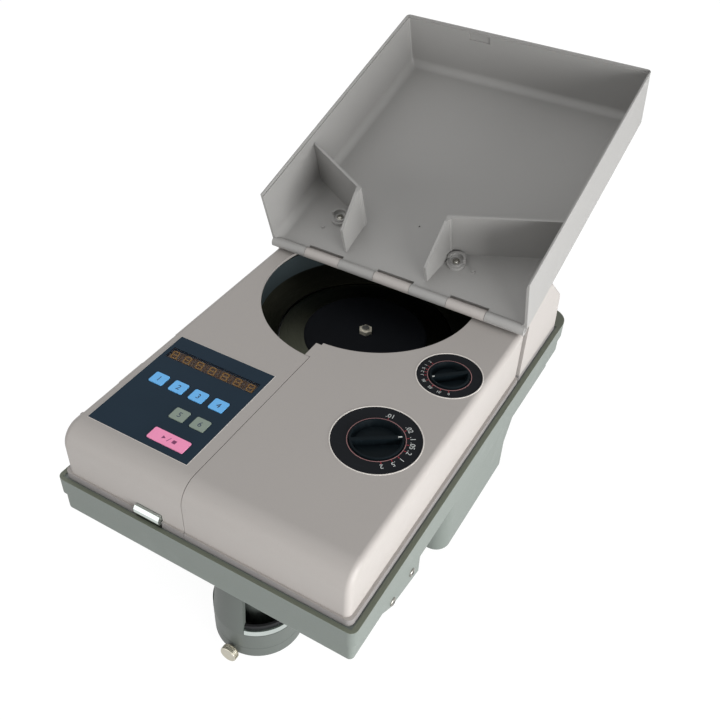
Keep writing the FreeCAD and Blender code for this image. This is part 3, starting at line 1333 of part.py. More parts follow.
def case_outer():
    """Outside of the lower case: tray, rim, deep box, bay and side tab."""
    side = "(rim_half - rim_step)"
    tray = block(f"-{side}", side, "rim_front + rim_step", "rim_rear - rim_step", "tray_low", "0")
    soften(tray, "rim_rear_round - rim_step", (("y+", "x-"), ()), (("y+", "x+"), ()))
    soften(tray, "rim_front_round - rim_step", (("y-", "x-"), ()), (("y-", "x+"), ()))
    soften(tray, "tray_edge_round", (("z-",), ()))
    rim = block("-rim_half", "rim_half", "rim_front", "rim_rear", "rim_top - rim_tall", "rim_top")
    soften(rim, "rim_rear_round", (("y+", "x-"), ()), (("y+", "x+"), ()))
    soften(rim, "rim_front_round", (("y-", "x-"), ()), (("y-", "x+"), ()))
    deep = block("-deep_half", "deep_half", "deep_front", "deep_rear", "deep_low",
            "tray_low + tray_edge_round")
    soften(deep, "deep_round", (("y-", "x-"), ()), (("y-", "x+"), ()))
    soften(deep, "tray_edge_round", (("z-",), ()))
    bay = prism("YZ", [
        ("deep_rear - wall", "bay_low - ramp_rise"),
        ("deep_rear", "bay_low - ramp_rise"),
        ("deep_rear + ramp_run", "bay_low"),
        ("bay_rear", "bay_low"),
        ("bay_rear", "tray_low + tray_edge_round"),
        ("deep_rear - wall", "tray_low + tray_edge_round"),
    ], "-deep_half", "deep_half")
    tab = prism("YZ", [
        ("tab_toe", "tab_toe_low"),
        ("tab_heel", "tab_heel_low"),
        ("tab_heel", "tray_low + tray_edge_round"),
        ("tab_front", "tray_low + tray_edge_round"),
    ], f"{side} - tab_thick", side)
    return fuse(tray, rim, deep, bay, tab)


def case_rooms():
    """Everything hollow in the lower case."""
    seat = box("-(skirt_half + rim_slot)", "skirt_half + rim_slot", "-rim_slot",
               "block_foot + rim_slot", "0", "rim_top + over")
    tray = box("-tray_half_in", "tray_half_in", "tray_front_in", "shelf_front", "tray_low + wall",
            "rim_top + over")
    under_shelf = block("-tray_half_in", "tray_half_in", "deep_rear", "tray_rear_in",
                        "tray_low + wall", "-shelf_thick")
    soften(under_shelf, "rim_rear_round - rim_step - wall", (("y+", "x-"), ()), (("y+", "x+"), ()))
    deep = block("-(deep_half - wall)", "deep_half - wall", "deep_front + wall", "deep_rear - wall",
                 "deep_low + wall", "0")
    soften(deep, "deep_round - wall", (("y-", "x-"), ()), (("y-", "x+"), ()))
    bay = prism("YZ", [
        ("deep_rear - 2 * wall", "bay_low - ramp_rise + wall"),
        ("deep_rear - wall / 2", "bay_low - ramp_rise + wall"),
        ("deep_rear + ramp_run - wall / 2", "bay_low + wall"),
        ("bay_rear - wall", "bay_low + wall"),
        ("bay_rear - wall", "-shelf_thick"),
        ("deep_rear - 2 * wall", "-shelf_thick"),
    ], "-(deep_half - wall)", "deep_half - wall")
    chute = rod("z", "chute_x", "chute_y", "tray_low - over", "chute_radius + chute_hole_gap",
            "wall + 2 * over")
    inlet = around("inlet_x", "bay_rear", "inlet_wide - 2 * inlet_edge", "4 * wall", "0",
                   "inlet_z - inlet_tall / 2 + inlet_edge", "inlet_z + inlet_tall / 2 - inlet_edge")
    screws = [rod("x", "rim_half - rim_step - tab_thick - over", f"tab_screw_{place}", "tab_screw_z",
                  "screw_radius + run_gap", "tab_thick + 2 * over") for place in ("front", "rear")]
    return [seat, tray, under_shelf, deep, bay, chute, inlet] + screws


def lower_case():
    """Green-grey case with the pillars that carry the deck."""
    shell = cut(case_outer(), *case_rooms())
    pillars = []
    for sign in ("-", ""):
        pillars.append(rod("z", f"{sign}pillar_x", "pillar_front", "tray_low + wall / 2", "pillar_radius",
                           "deck_low - tray_low - wall / 2"))
        pillars.append(rod("z", f"{sign}pillar_x", "pillar_mid", "deep_low + wall / 2", "pillar_radius",
                           "deck_low - deep_low - wall / 2"))
    posts = []
    for x in ("board_x0 + boss_inset", "board_x1 - boss_inset"):
        for y in ("board_y0 + boss_inset", "board_y1 - boss_inset"):
            posts.append(rod("z", x, y, "deep_low + wall / 2", "boss_radius",
                    "board_z - deep_low - wall / 2"))
    node("lower_case", "machine", fuse(shell, *pillars, *posts))


def side_screws():
    """Two screws in the side tab."""
    screws = []
    face = "rim_half - rim_step"
    for place in ("front", "rear"):
        shank = rod("x", f"{face} - tab_thick", f"tab_screw_{place}", "tab_screw_z", "screw_radius",
                "tab_thick")
        head = rod("x", face, f"tab_screw_{place}", "tab_screw_z", "screw_head", "screw_head_tall")
        screws.append(fuse(shank, head))
    node("side_screws", "machine", *screws)


def feet():
    """Four rubber feet under the deep box."""
    pads = []
    for sign in ("-", ""):
        for y in ("foot_front", "foot_rear"):
            pads.append(cone(f"{sign}foot_x", y, "deep_low - foot_tall", "foot_radius - foot_tall / 4",
                             "foot_radius", "foot_tall"))
    node("feet", "machine", *pads)


def chute_tube():
    """Funnel under the deck and the tube that drops the counted coins."""
    tube_wide = "(chute_radius - chute_bore)"
    node("chute_tube", "machine", turned([
        ("chute_bore", "chute_low"),
        ("chute_radius", "chute_low"),
        ("chute_radius", "mouth_end"),
        (f"mouth_bore + {tube_wide}", "mouth_low"),
        (f"mouth_bore + {tube_wide}", "deck_low"),
        ("mouth_bore", "deck_low"),
        ("mouth_bore", "mouth_low"),
        ("chute_bore", "mouth_end"),
    ], "chute_x", "chute_y"))


def arc_band(outside, inside, low, high, start, end, lean="0"):
    """Part of an upright ring between two angles, about the chute's axis."""
    body = turned([
        (inside, low),
        (outside, low),
        (f"{outside} - {lean}", high),
        (f"{inside} - {lean}", high),
    ], "0", "0", f"({end}) - ({start})")
    return turn_about(body, "chute_x", "chute_y", start)


def bag_collar():
    """Collar round the chute, with the leaning column that joins it to the case."""
    bore = "(chute_radius + chute_hole_gap)"
    inside = "(collar_radius - collar_wall)"
    ring = turned([
        (bore, "collar_low"),
        ("collar_radius - collar_round", "collar_low"),
        ("collar_radius", "collar_low + collar_round"),
        ("collar_radius", "collar_top"),
        (inside, "collar_top"),
        (inside, "collar_low + collar_floor"),
        (bore, "collar_low + collar_floor"),
    ], "chute_x", "chute_y")
    column = arc_band("collar_radius", inside, "collar_top", "tray_low", "collar_from_angle",
                      "collar_to_angle", "column_lean")
    hole = rod("y", "chute_x", "chute_y - collar_radius - over", "thumb_z", "thumb_shank + run_gap",
               "collar_wall + 2 * over")
    node("bag_collar", "machine", cut(fuse(ring, column), hole))


def clamp_ring():
    """Chromed band that holds the mouth of a coin bag."""
    low = "collar_top + ring_lift"
    node("clamp_ring", "machine",
         arc_band("ring_out", "ring_out - ring_thick", low, f"{low} + ring_tall",
                  "collar_to_angle + ring_end_angle", "collar_from_angle + 360 - ring_end_angle"))


def ring_rubber():
    """Rubber strip inside the clamp ring."""
    low = "collar_top + ring_lift"
    out = "ring_out - ring_thick"
    node("ring_rubber", "machine",
         arc_band(out, f"{out} - rubber_thick", low, f"{low} + rubber_tall",
                  "collar_to_angle + ring_end_angle", "collar_from_angle + 360 - ring_end_angle"))


def thumb_screw():
    """Knurled screw that locks the collar on the tube."""
    face = "chute_y - collar_radius - thumb_reach"
    head = rod("y", "chute_x", face, "thumb_z", "thumb_radius", "thumb_head")
    tip = "chute_y - chute_radius - air_gap"
    shank = rod("y", "chute_x", f"{face} + thumb_head", "thumb_z", "thumb_shank",
            f"{tip} - ({face} + thumb_head)")
    node("thumb_screw", "machine", fuse(head, shank))


def front_catch():
    """Sprung catch: a nose outside the skirt on a leg that reaches inside the cover."""
    profile = prism("YZ", [
        ("-catch_lip", "catch_gap"),
        ("-catch_proud", "catch_nose"),
        ("-catch_proud", "catch_brow"),
        ("-catch_lip", "catch_top"),
        ("catch_foot", "catch_top"),
        ("catch_foot", "catch_top - catch_plate"),
        ("front_face + catch_plate", "catch_top - catch_plate"),
        ("front_face + catch_plate", "catch_gap"),
    ], "catch_left", "catch_right")
    node("front_catch", "machine", profile)


def power_inlet():
    """Inlet socket and rocker well in one moulding."""
    face = "(bay_rear + inlet_flange)"
    flange = around("inlet_x", f"{face} - inlet_flange / 2", "inlet_wide", "inlet_flange", "0",
                    "inlet_z - inlet_tall / 2", "inlet_z + inlet_tall / 2")
    seat = "(inlet_edge + slide_gap)"
    body = around("inlet_x", "bay_rear - inlet_body / 2", f"inlet_wide - 2 * {seat}", "inlet_body", "0",
                  f"inlet_z - inlet_tall / 2 + {seat}", f"inlet_z + inlet_tall / 2 - {seat}")
    socket_x = "(inlet_x + socket_shift)"
    socket = box(f"{socket_x} - socket_wide / 2", f"{socket_x} + socket_wide / 2", f"{face} - socket_deep",
                 f"{face} + over", "inlet_z - socket_tall / 2", "inlet_z + socket_tall / 2")
    well_x = "(inlet_x - well_shift)"
    well = box(f"{well_x} - well_wide / 2", f"{well_x} + well_wide / 2", f"{face} - well_deep",
            f"{face} + over",
               "inlet_z - well_tall / 2", "inlet_z + well_tall / 2")
    prongs = []
    for number in (-1, 0, 1):
        prongs.append(around(f"{socket_x} + {number} * prong_pitch", f"{face} - socket_deep + prong_long / 2",
                             "prong_wide", "prong_long", "0", "inlet_z - prong_tall / 2",
                             "inlet_z + prong_tall / 2"))
    node("power_inlet", "machine", fuse(cut(fuse(flange, body), socket, well), *prongs))


def power_rocker():
    """Rocker cap that tips about a level axis."""
    half = "(well_wide / 2 - air_gap)"
    drum = rod("x", f"-{half}", "0", "0", "rocker_radius", f"2 * {half}")
    front = prism("YZ", [
        ("0", "-rocker_radius"),
        ("rocker_out", "-rocker_radius"),
        ("rocker_out - rocker_dip", "0"),
        ("rocker_out", "rocker_radius"),
        ("0", "rocker_radius"),
    ], f"-{half}", half)
    holder = group(fuse(drum, front))
    holder.Placement.Rotation.Axis = V(1, 0, 0)
    bind(holder, Placement__Rotation__Angle="rocker_tilt")
    at(holder, "inlet_x - well_shift", "bay_rear + inlet_flange - rocker_in", "inlet_z")
    node("power_rocker", "machine", holder)


def main_board():
    """Main circuit board with its tall parts."""
    plate = box("board_x0", "board_x1", "board_y0", "board_y1", "board_z", "board_z + board_thick")
    parts = []
    for number in range(3):
        x = f"board_x0 + {number + 1} * (board_x1 - board_x0) / 4"
        parts.append(around(x, "(board_y0 + board_y1) / 2", "chip_wide", "2 * chip_wide", "0",
                            "board_z + board_thick / 2", "board_z + board_thick + chip_tall"))
    node("main_board", "machine", fuse(plate, *parts))


def transformer():
    """Transformer on the floor of the deep box."""
    low = "deep_low + wall"
    core = box("iron_x0", "iron_x1", "iron_y0", "iron_y1", low, f"{low} + iron_tall")
    coil = box("iron_x0 + coil_out", "iron_x1 - coil_out", "iron_y0 - coil_out", "iron_y1 + coil_out",
               f"{low} + coil_out", f"{low} + iron_tall - coil_out")
    node("transformer", "machine", fuse(core, coil))


def build():
    """Make every sub-part."""
    lower_case()
    left_cover()
    right_cover()
    rear_block()
    hopper_lid()
    hinge_pin()
    coin_guide("left")
    coin_guide("right")
    guide_screws()
    bowl_wall()
    bowl_cone()
    coin_disc()
    disc_pad()
    disc_nut()
    disc_shaft()
    deck_plate()
    shaft_bearings()
    driven_pulley()
    motor_pulley()
    drive_motor()
    drive_belt()
    feed_belt()
    feed_roller()
    idler_roller()
    feed_motor()
    coin_track()
    width_rail()
    thickness_gate()
    coin_sensor()
    for name in ("large", "small"):
        dial_plate(name)
        knob(name)
    cams()
    control_panel()
    display_window()
    display_module()
    display_board()
    key_switches()
    keys()
    side_screws()
    feet()
    chute_tube()
    bag_collar()
    clamp_ring()
    ring_rubber()
    thumb_screw()
    front_catch()
    power_inlet()
    power_rocker()
    main_board()
    transformer()


def check():
    """Stop if any object failed or any sub-part is not a sound shape."""
    failed = [item.Name for item in doc.Objects if {"Invalid", "Error"} & set(item.State)]
    if failed:
        raise RuntimeError("objects failed: " + ", ".join(failed))
    for item in nodes:
        if item.Shape.isNull() or not item.Shape.isValid() or not item.Shape.Solids:
            raise RuntimeError("no sound shape in " + item.Label)


build()
doc.recompute()
check()
os.makedirs("parts", exist_ok=True)
for item in nodes:
    item.Shape.exportStep(f"parts/{item.Label}.step")
print(len(nodes), "sub-parts written")
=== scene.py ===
import json
import math

import bpy
from mathutils import Matrix, Vector


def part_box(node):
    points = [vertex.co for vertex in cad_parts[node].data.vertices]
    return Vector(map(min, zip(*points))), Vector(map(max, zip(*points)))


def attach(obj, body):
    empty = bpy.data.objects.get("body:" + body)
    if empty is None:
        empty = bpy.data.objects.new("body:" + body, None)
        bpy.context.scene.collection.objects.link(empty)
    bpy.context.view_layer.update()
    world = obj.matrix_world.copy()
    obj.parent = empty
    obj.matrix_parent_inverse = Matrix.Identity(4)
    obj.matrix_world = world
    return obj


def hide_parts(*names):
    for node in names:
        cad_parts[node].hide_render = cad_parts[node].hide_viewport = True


bl_info = {
    "name": "Coin counter dressing",
    "version": (1, 0, 0),
    "blender": (4, 5, 0),
    "location": "View3D > Sidebar > Counter",
    "description": "Finishes, printed scales, display digits and fittings of a portable coin counter",
    "category": "Object",
}

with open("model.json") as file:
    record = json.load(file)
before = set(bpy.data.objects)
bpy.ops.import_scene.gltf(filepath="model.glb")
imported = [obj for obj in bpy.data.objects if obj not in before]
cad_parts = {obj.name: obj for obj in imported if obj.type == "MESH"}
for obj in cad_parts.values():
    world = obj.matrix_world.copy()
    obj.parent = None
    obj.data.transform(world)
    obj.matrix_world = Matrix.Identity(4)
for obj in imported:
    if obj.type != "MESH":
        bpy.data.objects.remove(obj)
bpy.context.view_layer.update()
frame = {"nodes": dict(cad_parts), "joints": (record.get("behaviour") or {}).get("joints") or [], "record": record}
JOINTS = {joint["name"]: joint for joint in frame["joints"]}
MM = 0.001

# The sloping top and the opened lid
TOP_POINT = Vector(JOINTS["large_dial_turn"]["pos_m"])
TOP_NORMAL = Vector(JOINTS["large_dial_turn"]["axis"])
LID_POINT = Vector(JOINTS["lid_hinge"]["pos_m"])
LID_TILT = math.radians(17.36)
LID_FLOOR = 2.5 * MM

# Faces above or below the sloping top
PLATE_SINK = 0.2 * MM
KEY_FACE = 0.8 * MM
KNOB_FACE = 1.4 * MM
DISPLAY_FACE = -1.4 * MM
MODULE_FACE = -2.8 * MM

# Heights above the floor where a finish changes its colour: a band along the covers' skirt, painted shade at the
# top of the case's rim, and painted shadow and dark reflection on the lower part of the chrome catch
RIM_TOP = 120.8 * MM
RIM_SHADE_END = 130.0 * MM
SKIRT_FOOT = 119.0 * MM
SKIRT_TOP = 126.8 * MM
CATCH_SHADE_FOOT = 119.5 * MM
CATCH_SHADE_TOP = 124.5 * MM

# Thickness of a printed layer
INK = 0.06 * MM

# The camera: its place in the frame's metres, its direction, and its lens in millimetres
CAMERA_PLACE = (0.2855, -0.5703, 0.6384)
CAMERA_AZIMUTH = math.radians(28.389)
CAMERA_ELEVATION = math.radians(40.194)
CAMERA_ROLL = math.radians(2.723)
CAMERA_LENS = 43.6


def srgb(red, green, blue):
    """A colour of 0 to 255 channels as a linear colour with alpha."""
    linear = []
    for channel in (red, green, blue):
        share = channel / 255
        linear.append(share / 12.92 if share <= 0.04045 else ((share + 0.055) / 1.055) ** 2.4)
    return (*linear, 1.0)


def shade(colour, factor):
    """The colour made lighter or darker."""
    return (*(min(1.0, channel * factor) for channel in colour[:3]), 1.0)


def finish_name(name):
    """The material's name for a slot or an ink."""
    return name.replace("_", " ") + " finish"


# Shader maths

class Wire:
    """A shader socket that works in a Python expression."""

    def __init__(self, finish, socket):
        self.finish = finish
        self.socket = socket

    def combine(self, operation, first, second):
        return self.finish.node("ShaderNodeMath", {"operation": operation}, {0: first, 1: second})

    def __add__(self, other):
        return self.combine("ADD", self, other)

    __radd__ = __add__

    def __sub__(self, other):
        return self.combine("SUBTRACT", self, other)

    def __rsub__(self, other):
        return self.combine("SUBTRACT", other, self)

    def __mul__(self, other):
        return self.combine("MULTIPLY", self, other)

    __rmul__ = __mul__

    def __truediv__(self, other):
        return self.combine("DIVIDE", self, other)

    def __rtruediv__(self, other):
        return self.combine("DIVIDE", other, self)

    def __gt__(self, other):
        return self.combine("GREATER_THAN", self, other)

    def __lt__(self, other):
        return self.combine("LESS_THAN", self, other)


class Nodes:
    """The nodes of a material or of the world."""

    def __init__(self, tree):
        self.tree = tree
        self.tree.nodes.clear()

    def node(self, kind, settings, inputs, output=0):
        """Add a node with its settings and inputs; gives one of its outputs, or the node if it has none."""
        made = self.tree.nodes.new(kind)
        for name, value in settings.items():
            if name == "stops":
                ramp = made.color_ramp
                for stop, (position, colour) in zip(ramp.elements, value):
                    stop.position = position
                    stop.color = colour
                for position, colour in value[2:]:
                    ramp.elements.new(position).color = colour
            else:
                setattr(made, name, value)
        for key, value in inputs.items():
            if isinstance(value, Wire):
                self.tree.links.new(value.socket, made.inputs[key])
            else:
                made.inputs[key].default_value = value
        return Wire(self, made.outputs[output]) if made.outputs else made

    def seen(self):
        """1 for rays of the camera, of gloss and of glass."""
        camera, gloss, glass = (self.node("ShaderNodeLightPath", {}, {}, name) for name in
                                ("Is Camera Ray", "Is Glossy Ray", "Is Transmission Ray"))
        return camera.combine("MAXIMUM", camera.combine("MAXIMUM", camera, gloss), glass)


class Finish(Nodes):
    """A material that is built up node by node."""

    def __init__(self, name):
        self.material = bpy.data.materials.new(finish_name(name))
        self.material.use_nodes = True
        super().__init__(self.material.node_tree)
        self.surface = self.node("ShaderNodeBsdfPrincipled", {}, {})
        self.output = self.node("ShaderNodeOutputMaterial", {}, {"Surface": self.surface})
        self.place = self.node("ShaderNodeTexCoord", {}, {}, "Object")

    def noise(self, scale, detail=2.0, place=None, distortion=0.0):
        """Noise on Object coordinates, or on another place."""
        return self.node("ShaderNodeTexNoise", {}, {
            "Vector": place or self.place, "Scale": scale, "Detail": detail, "Distortion": distortion,
        })

    def stretched(self, scale, offset=(0.0, 0.0, 0.0)):
        """Object coordinates, scaled and moved."""
        return self.node("ShaderNodeMapping", {}, {"Vector": self.place, "Scale": scale, "Location": offset})

    def ramp(self, factor, *stops):
        """A colour for each value, through stops of position and colour."""
        return self.node("ShaderNodeValToRGB", {"stops": stops}, {"Fac": factor})

    def mix(self, factor, first, second):
        """Two colours mixed by a factor."""
        return self.node("ShaderNodeMix", {"data_type": "RGBA"}, {0: factor, 6: first, 7: second}, 2)

    def bump(self, height, distance, strength):
        """A relief of the given depth."""
        inputs = {"Height": height, "Distance": distance, "Strength": strength}
        return self.node("ShaderNodeBump", {}, inputs)

    def height(self):
        """Height above the floor."""
        return self.node("ShaderNodeSeparateXYZ", {}, {0: self.place}, "Z")

    def set(self, **sockets):
        """Feed the surface's sockets."""
        for name, value in sockets.items():
            socket = self.surface.socket.node.inputs[name.replace("_", " ")]
            if isinstance(value, Wire):
                self.tree.links.new(value.socket, socket)
            else:
                socket.default_value = value

    def show(self, shader):
        """Send another shader to the output."""
        self.tree.links.new(shader.socket, self.output.inputs["Surface"])


BLACK = (0.0, 0.0, 0.0, 1.0)
WHITE = (1.0, 1.0, 1.0, 1.0)


def moulded(name, colour, rough=0.5, grain=1500.0, relief=0.05, mottle=0.025, speck=0.08, band=None):
    """Moulded plastic: fine spark-eroded grain, cloudy colour, rubbed patches and a few dust specks."""
    finish = Finish(name)
    cloud = finish.noise(11.0, 4.0)
    fine = finish.noise(grain, 3.0)
    patches = finish.noise(38.0, 5.0, distortion=0.6)
    specks = finish.noise(620.0, 0.0)
    base = finish.mix(cloud, shade(colour, 1 - mottle), shade(colour, 1 + mottle))
    base = finish.mix(fine * 0.3, base, shade(colour, 0.84))
    base = finish.mix((specks > 0.76) * speck, base, shade(colour, 0.66))
    # A band between two heights takes another colour; on the case's rim this is painted shade under the covers'
    # skirt, on the covers it is a band along their skirt
    if band is not None:
        low, high, band_colour = band
        level = finish.height()
        base = finish.mix((level > low) * (level < high) * 0.8, base, band_colour)
    rubbed = finish.ramp(patches, (0.55, BLACK), (0.75, WHITE))
    finish.set(
        Base_Color=base,
        Roughness=(rough + 0.12 * fine - 0.06) - rubbed * 0.06,
        Normal=finish.bump(fine, relief * MM, 0.55),
    )
    return finish.material


def printed_film(name, colour, rough=0.3):
    """Polyester film with a fine matte texture and soft gloss."""
    finish = Finish(name)
    weave = finish.noise(2600.0, 2.0)
    cloud = finish.noise(24.0, 3.0)
    base = finish.mix(cloud, shade(colour, 0.86), shade(colour, 1.18))
    base = finish.mix(weave * 0.4, base, shade(colour, 1.5))
    finish.set(
        Base_Color=base,
        Roughness=rough + 0.14 * weave + 0.1 * cloud,
        Normal=finish.bump(weave, 0.02 * MM, 0.4),
        Specular_IOR_Level=0.06,
    )
    return finish.material


def key_cap(name, colour):
    """Satin key cap, a little worn to a shine in places."""
    finish = Finish(name)
    fine = finish.noise(2200.0, 2.0)
    wear = finish.noise(210.0, 3.0)
    base = finish.mix(wear, shade(colour, 0.93), shade(colour, 1.05))
    base = finish.mix(fine * 0.3, base, shade(colour, 0.85))
    finish.set(Base_Color=base, Roughness=0.34 + 0.2 * wear, Normal=finish.bump(fine, 0.02 * MM, 0.4))
    return finish.material


def gloss_black(name, colour=(0.010, 0.012, 0.014, 1.0), rough=0.26, gloss=0.2):
    """Black plastic of knobs and dial plates, with fine scuffs."""
    finish = Finish(name)
    fine = finish.noise(1900.0, 2.0)
    scuffs = finish.noise(90.0, 6.0, finish.stretched((1.0, 7.0, 1.0)))
    marks = finish.ramp(scuffs, (0.56, BLACK), (0.68, WHITE))
    base = finish.mix(marks * 0.25, colour, shade(colour, 3.0))
    base = finish.mix(fine * 0.5, base, shade(colour, 1.6))
    finish.set(
        Base_Color=base,
        Roughness=rough + 0.2 * marks + 0.1 * fine,
        Normal=finish.bump(fine, 0.02 * MM, 0.5),
        Specular_IOR_Level=gloss,
    )
    return finish.material


def plated(name, colour, rough=0.1, streak=900.0, band=None):
    """Plated or polished metal with faint rubbing marks."""
    finish = Finish(name)
    streaks = finish.noise(streak, 3.0, finish.stretched((1.0, 0.08, 1.0)))
    cloud = finish.noise(60.0, 3.0)
    base = finish.mix(cloud, shade(colour, 0.9), shade(colour, 1.04))
    # Where a band is given, the colour between two heights is swapped; on the chrome catch this is a painted
    # shadow and dark reflection on its lower part
    if band is not None:
        low, high, band_colour = band
        level = finish.height()
        base = finish.mix((level > low) * (level < high), base, band_colour)
    finish.set(
        Base_Color=base, Metallic=1.0, Roughness=rough + 0.1 * streaks * cloud,
        Normal=finish.bump(streaks, 0.01 * MM, 0.25),
    )
    return finish.material


def turned_metal(name, colour, centre, rough=0.3, rings=5200.0, tint=None):
    """Metal spun or turned about an upright axis, with its fine rings."""
    finish = Finish(name)
    centred = finish.stretched((1.0, 1.0, 1.0), (-centre.x, -centre.y, 0.0))
    across = finish.node("ShaderNodeSeparateXYZ", {}, {0: centred}, "X")
    along = finish.node("ShaderNodeSeparateXYZ", {}, {0: centred}, "Y")
    radius = across.combine("POWER", across * across + along * along, 0.5)
    line = {"noise_dimensions": "1D"}
    circles = finish.node("ShaderNodeTexNoise", line, {"W": radius, "Scale": rings, "Detail": 3.0})
    wide = finish.node("ShaderNodeTexNoise", line, {"W": radius, "Scale": rings / 14, "Detail": 2.0})
    cloud = finish.noise(30.0, 4.0)
    base = finish.mix(circles * 0.6 + wide * 0.3, shade(colour, 0.7), shade(colour, 1.25))
    # Where a tint is given it is mixed in through clouds; on the bowl it is a painted greenish reflection
    if tint is not None:
        base = finish.mix(cloud * 0.5, base, tint)
    finish.set(
        Base_Color=base, Metallic=1.0, Roughness=rough + 0.18 * circles,
        Normal=finish.bump(circles, 0.02 * MM, 0.4),
    )
    return finish.material


def cast_metal(name, colour, rough=0.45, metallic=1.0):
    """Rolled, sintered or ground metal of the parts inside."""
    finish = Finish(name)
    fine = finish.noise(1300.0, 4.0)
    cloud = finish.noise(40.0, 3.0)
    base = finish.mix(cloud, shade(colour, 0.82), shade(colour, 1.08))
    finish.set(
        Base_Color=base, Metallic=metallic, Roughness=rough + 0.2 * fine - 0.05,
        Normal=finish.bump(fine, 0.03 * MM, 0.4),
    )
    return finish.material


def rubber(name, colour=(0.014, 0.014, 0.015, 1.0)):
    """Matt rubber with dust in its pores."""
    finish = Finish(name)
    pores = finish.noise(1500.0, 4.0)
    dust = finish.noise(45.0, 4.0)
    base = finish.mix(dust * 0.5, colour, shade(colour, 2.6))
    finish.set(
        Base_Color=base, Roughness=0.72 + 0.2 * pores, Normal=finish.bump(pores, 0.05 * MM, 0.6),
        Specular_IOR_Level=0.12,
    )
    return finish.material


def board(name, colour):
    """Circuit board with its woven glass and lacquered tracks."""
    finish = Finish(name)
    weave = {"Vector": finish.place, "Scale": 900.0, "Distortion": 0.6}
    threads = finish.node("ShaderNodeTexWave", {}, weave)
    cells = {"feature": "DISTANCE_TO_EDGE", "distance": "MANHATTAN"}
    tracks = finish.node("ShaderNodeTexVoronoi", cells, {"Vector": finish.place, "Scale": 190.0})
    lines = tracks < 0.08
    base = finish.mix(lines * 0.6, colour, shade(colour, 1.9))
    finish.set(Base_Color=base, Roughness=0.32 + 0.1 * threads, Normal=finish.bump(lines, 0.03 * MM, 0.5))
    return finish.material


def tinted_window(name, colour):
    """Tinted lens over the digits."""
    finish = Finish(name)
    scuffs = finish.noise(160.0, 5.0)
    finish.set(
        Base_Color=finish.mix(scuffs, shade(colour, 0.9), shade(colour, 1.1)),
        Roughness=0.1 + 0.1 * scuffs, Alpha=0.12, Specular_IOR_Level=0.2,
    )
    return finish.material


def ink(name, colour, rough=0.5):
    """Screen-printed ink with tiny gaps in its cover."""
    finish = Finish(name)
    fine = finish.noise(3200.0, 2.0)
    base = finish.mix(fine, shade(colour, 0.82), colour)
    finish.set(Base_Color=base, Roughness=rough + 0.1 * fine, Normal=finish.bump(fine, 0.01 * MM, 0.3))
    return finish.material


# Places

def on_top(x, y, height=0.0, turn=0.0):
    """The place over plan point x, y of the sloping top, turned about its normal."""
    drop = TOP_NORMAL.x * (x - TOP_POINT.x) + TOP_NORMAL.y * (y - TOP_POINT.y)
    point = Vector((x, y, TOP_POINT.z - drop / TOP_NORMAL.z))
    across = Vector((1.0, 0.0, 0.0))
    basis = Matrix((across, TOP_NORMAL.cross(across), TOP_NORMAL)).transposed().to_4x4()
    return Matrix.Translation(point + TOP_NORMAL * height) @ basis @ Matrix.Rotation(turn, 4, "Z")


def in_lid(x, far, height=0.0):
    """The place in the opened lid at x, far from the hinge, over the underside of its floor."""
    opened = Matrix.Translation(LID_POINT) @ Matrix.Rotation(LID_TILT, 4, "X")
    return opened @ Matrix.Translation((x, far, height))


def middle(node):
    """The middle of a node's box."""
    low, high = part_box(node)
    return (low + high) / 2


# Modelling by hand

def clear():
    """Leave edit mode and deselect everything."""
    if bpy.context.object and bpy.context.object.mode != "OBJECT":
        bpy.ops.object.mode_set(mode="OBJECT")
    bpy.ops.object.select_all(action="DESELECT")


def pick(obj):
    """Make an object the only one selected, and the active one."""
    clear()
    obj.select_set(True)
    bpy.context.view_layer.objects.active = obj
    return obj


def edit(obj, mode="FACE"):
    """Enter edit mode with nothing selected."""
    pick(obj)
    bpy.ops.object.mode_set(mode="EDIT")
    bpy.ops.mesh.select_mode(type=mode)
    bpy.ops.mesh.select_all(action="DESELECT")


def choose(obj, kind, test):
    """Select the faces, edges or vertices that pass a test; it ends in edit mode."""
    bpy.ops.object.mode_set(mode="OBJECT")
    for part in getattr(obj.data, kind):
        part.select = bool(test(part))
    bpy.ops.object.mode_set(mode="EDIT")


def tidy(obj):
    """Merge doubles, turn the faces outwards and leave edit mode."""
    pick(obj)
    bpy.ops.object.mode_set(mode="EDIT")
    bpy.ops.mesh.select_all(action="SELECT")
    bpy.ops.mesh.remove_doubles(threshold=1e-7)
    bpy.ops.mesh.normals_make_consistent(inside=False)
    bpy.ops.object.mode_set(mode="OBJECT")
    return obj


def turned(profile, segments=64, ring=False):
    """A form turned about Z through the radii and heights given; a ring closes on its first one."""
    radius, height = profile[0]
    clear()
    bpy.ops.mesh.primitive_circle_add(
        vertices=segments, radius=radius, fill_type="NOTHING" if ring else "NGON",
        location=(0.0, 0.0, height))
    obj = bpy.context.object
    bpy.ops.object.transform_apply(location=True, rotation=True, scale=True)
    bpy.ops.object.mode_set(mode="EDIT")
    bpy.ops.mesh.select_all(action="SELECT")
    steps = profile[1:] + ([profile[0]] if ring else [])
    for next_radius, next_height in steps:
        lift = {"value": (0.0, 0.0, next_height - height)}
        if ring:
            bpy.ops.mesh.extrude_edges_move(TRANSFORM_OT_translate=lift)
        else:
            bpy.ops.mesh.extrude_region_move(TRANSFORM_OT_translate=lift)
        factor = next_radius / radius
        bpy.ops.transform.resize(value=(factor, factor, 1.0), center_override=(0.0, 0.0, next_height))
        radius, height = next_radius, next_height
    return tidy(obj)


def slab(wide, deep, tall, bevel=0.0, centre=(0.0, 0.0, 0.0)):
    """A block about a centre; its edges are bevelled where a bevel is given."""
    clear()
    bpy.ops.mesh.primitive_cube_add(size=1.0, location=centre)
    obj = bpy.context.object
    obj.scale = (wide, deep, tall)
    bpy.ops.object.transform_apply(location=True, rotation=True, scale=True)
    if bevel:
        edit(obj, "EDGE")
        bpy.ops.mesh.select_all(action="SELECT")
        bpy.ops.mesh.bevel(offset=bevel, offset_type="OFFSET", segments=2)
        bpy.ops.object.mode_set(mode="OBJECT")
    return obj


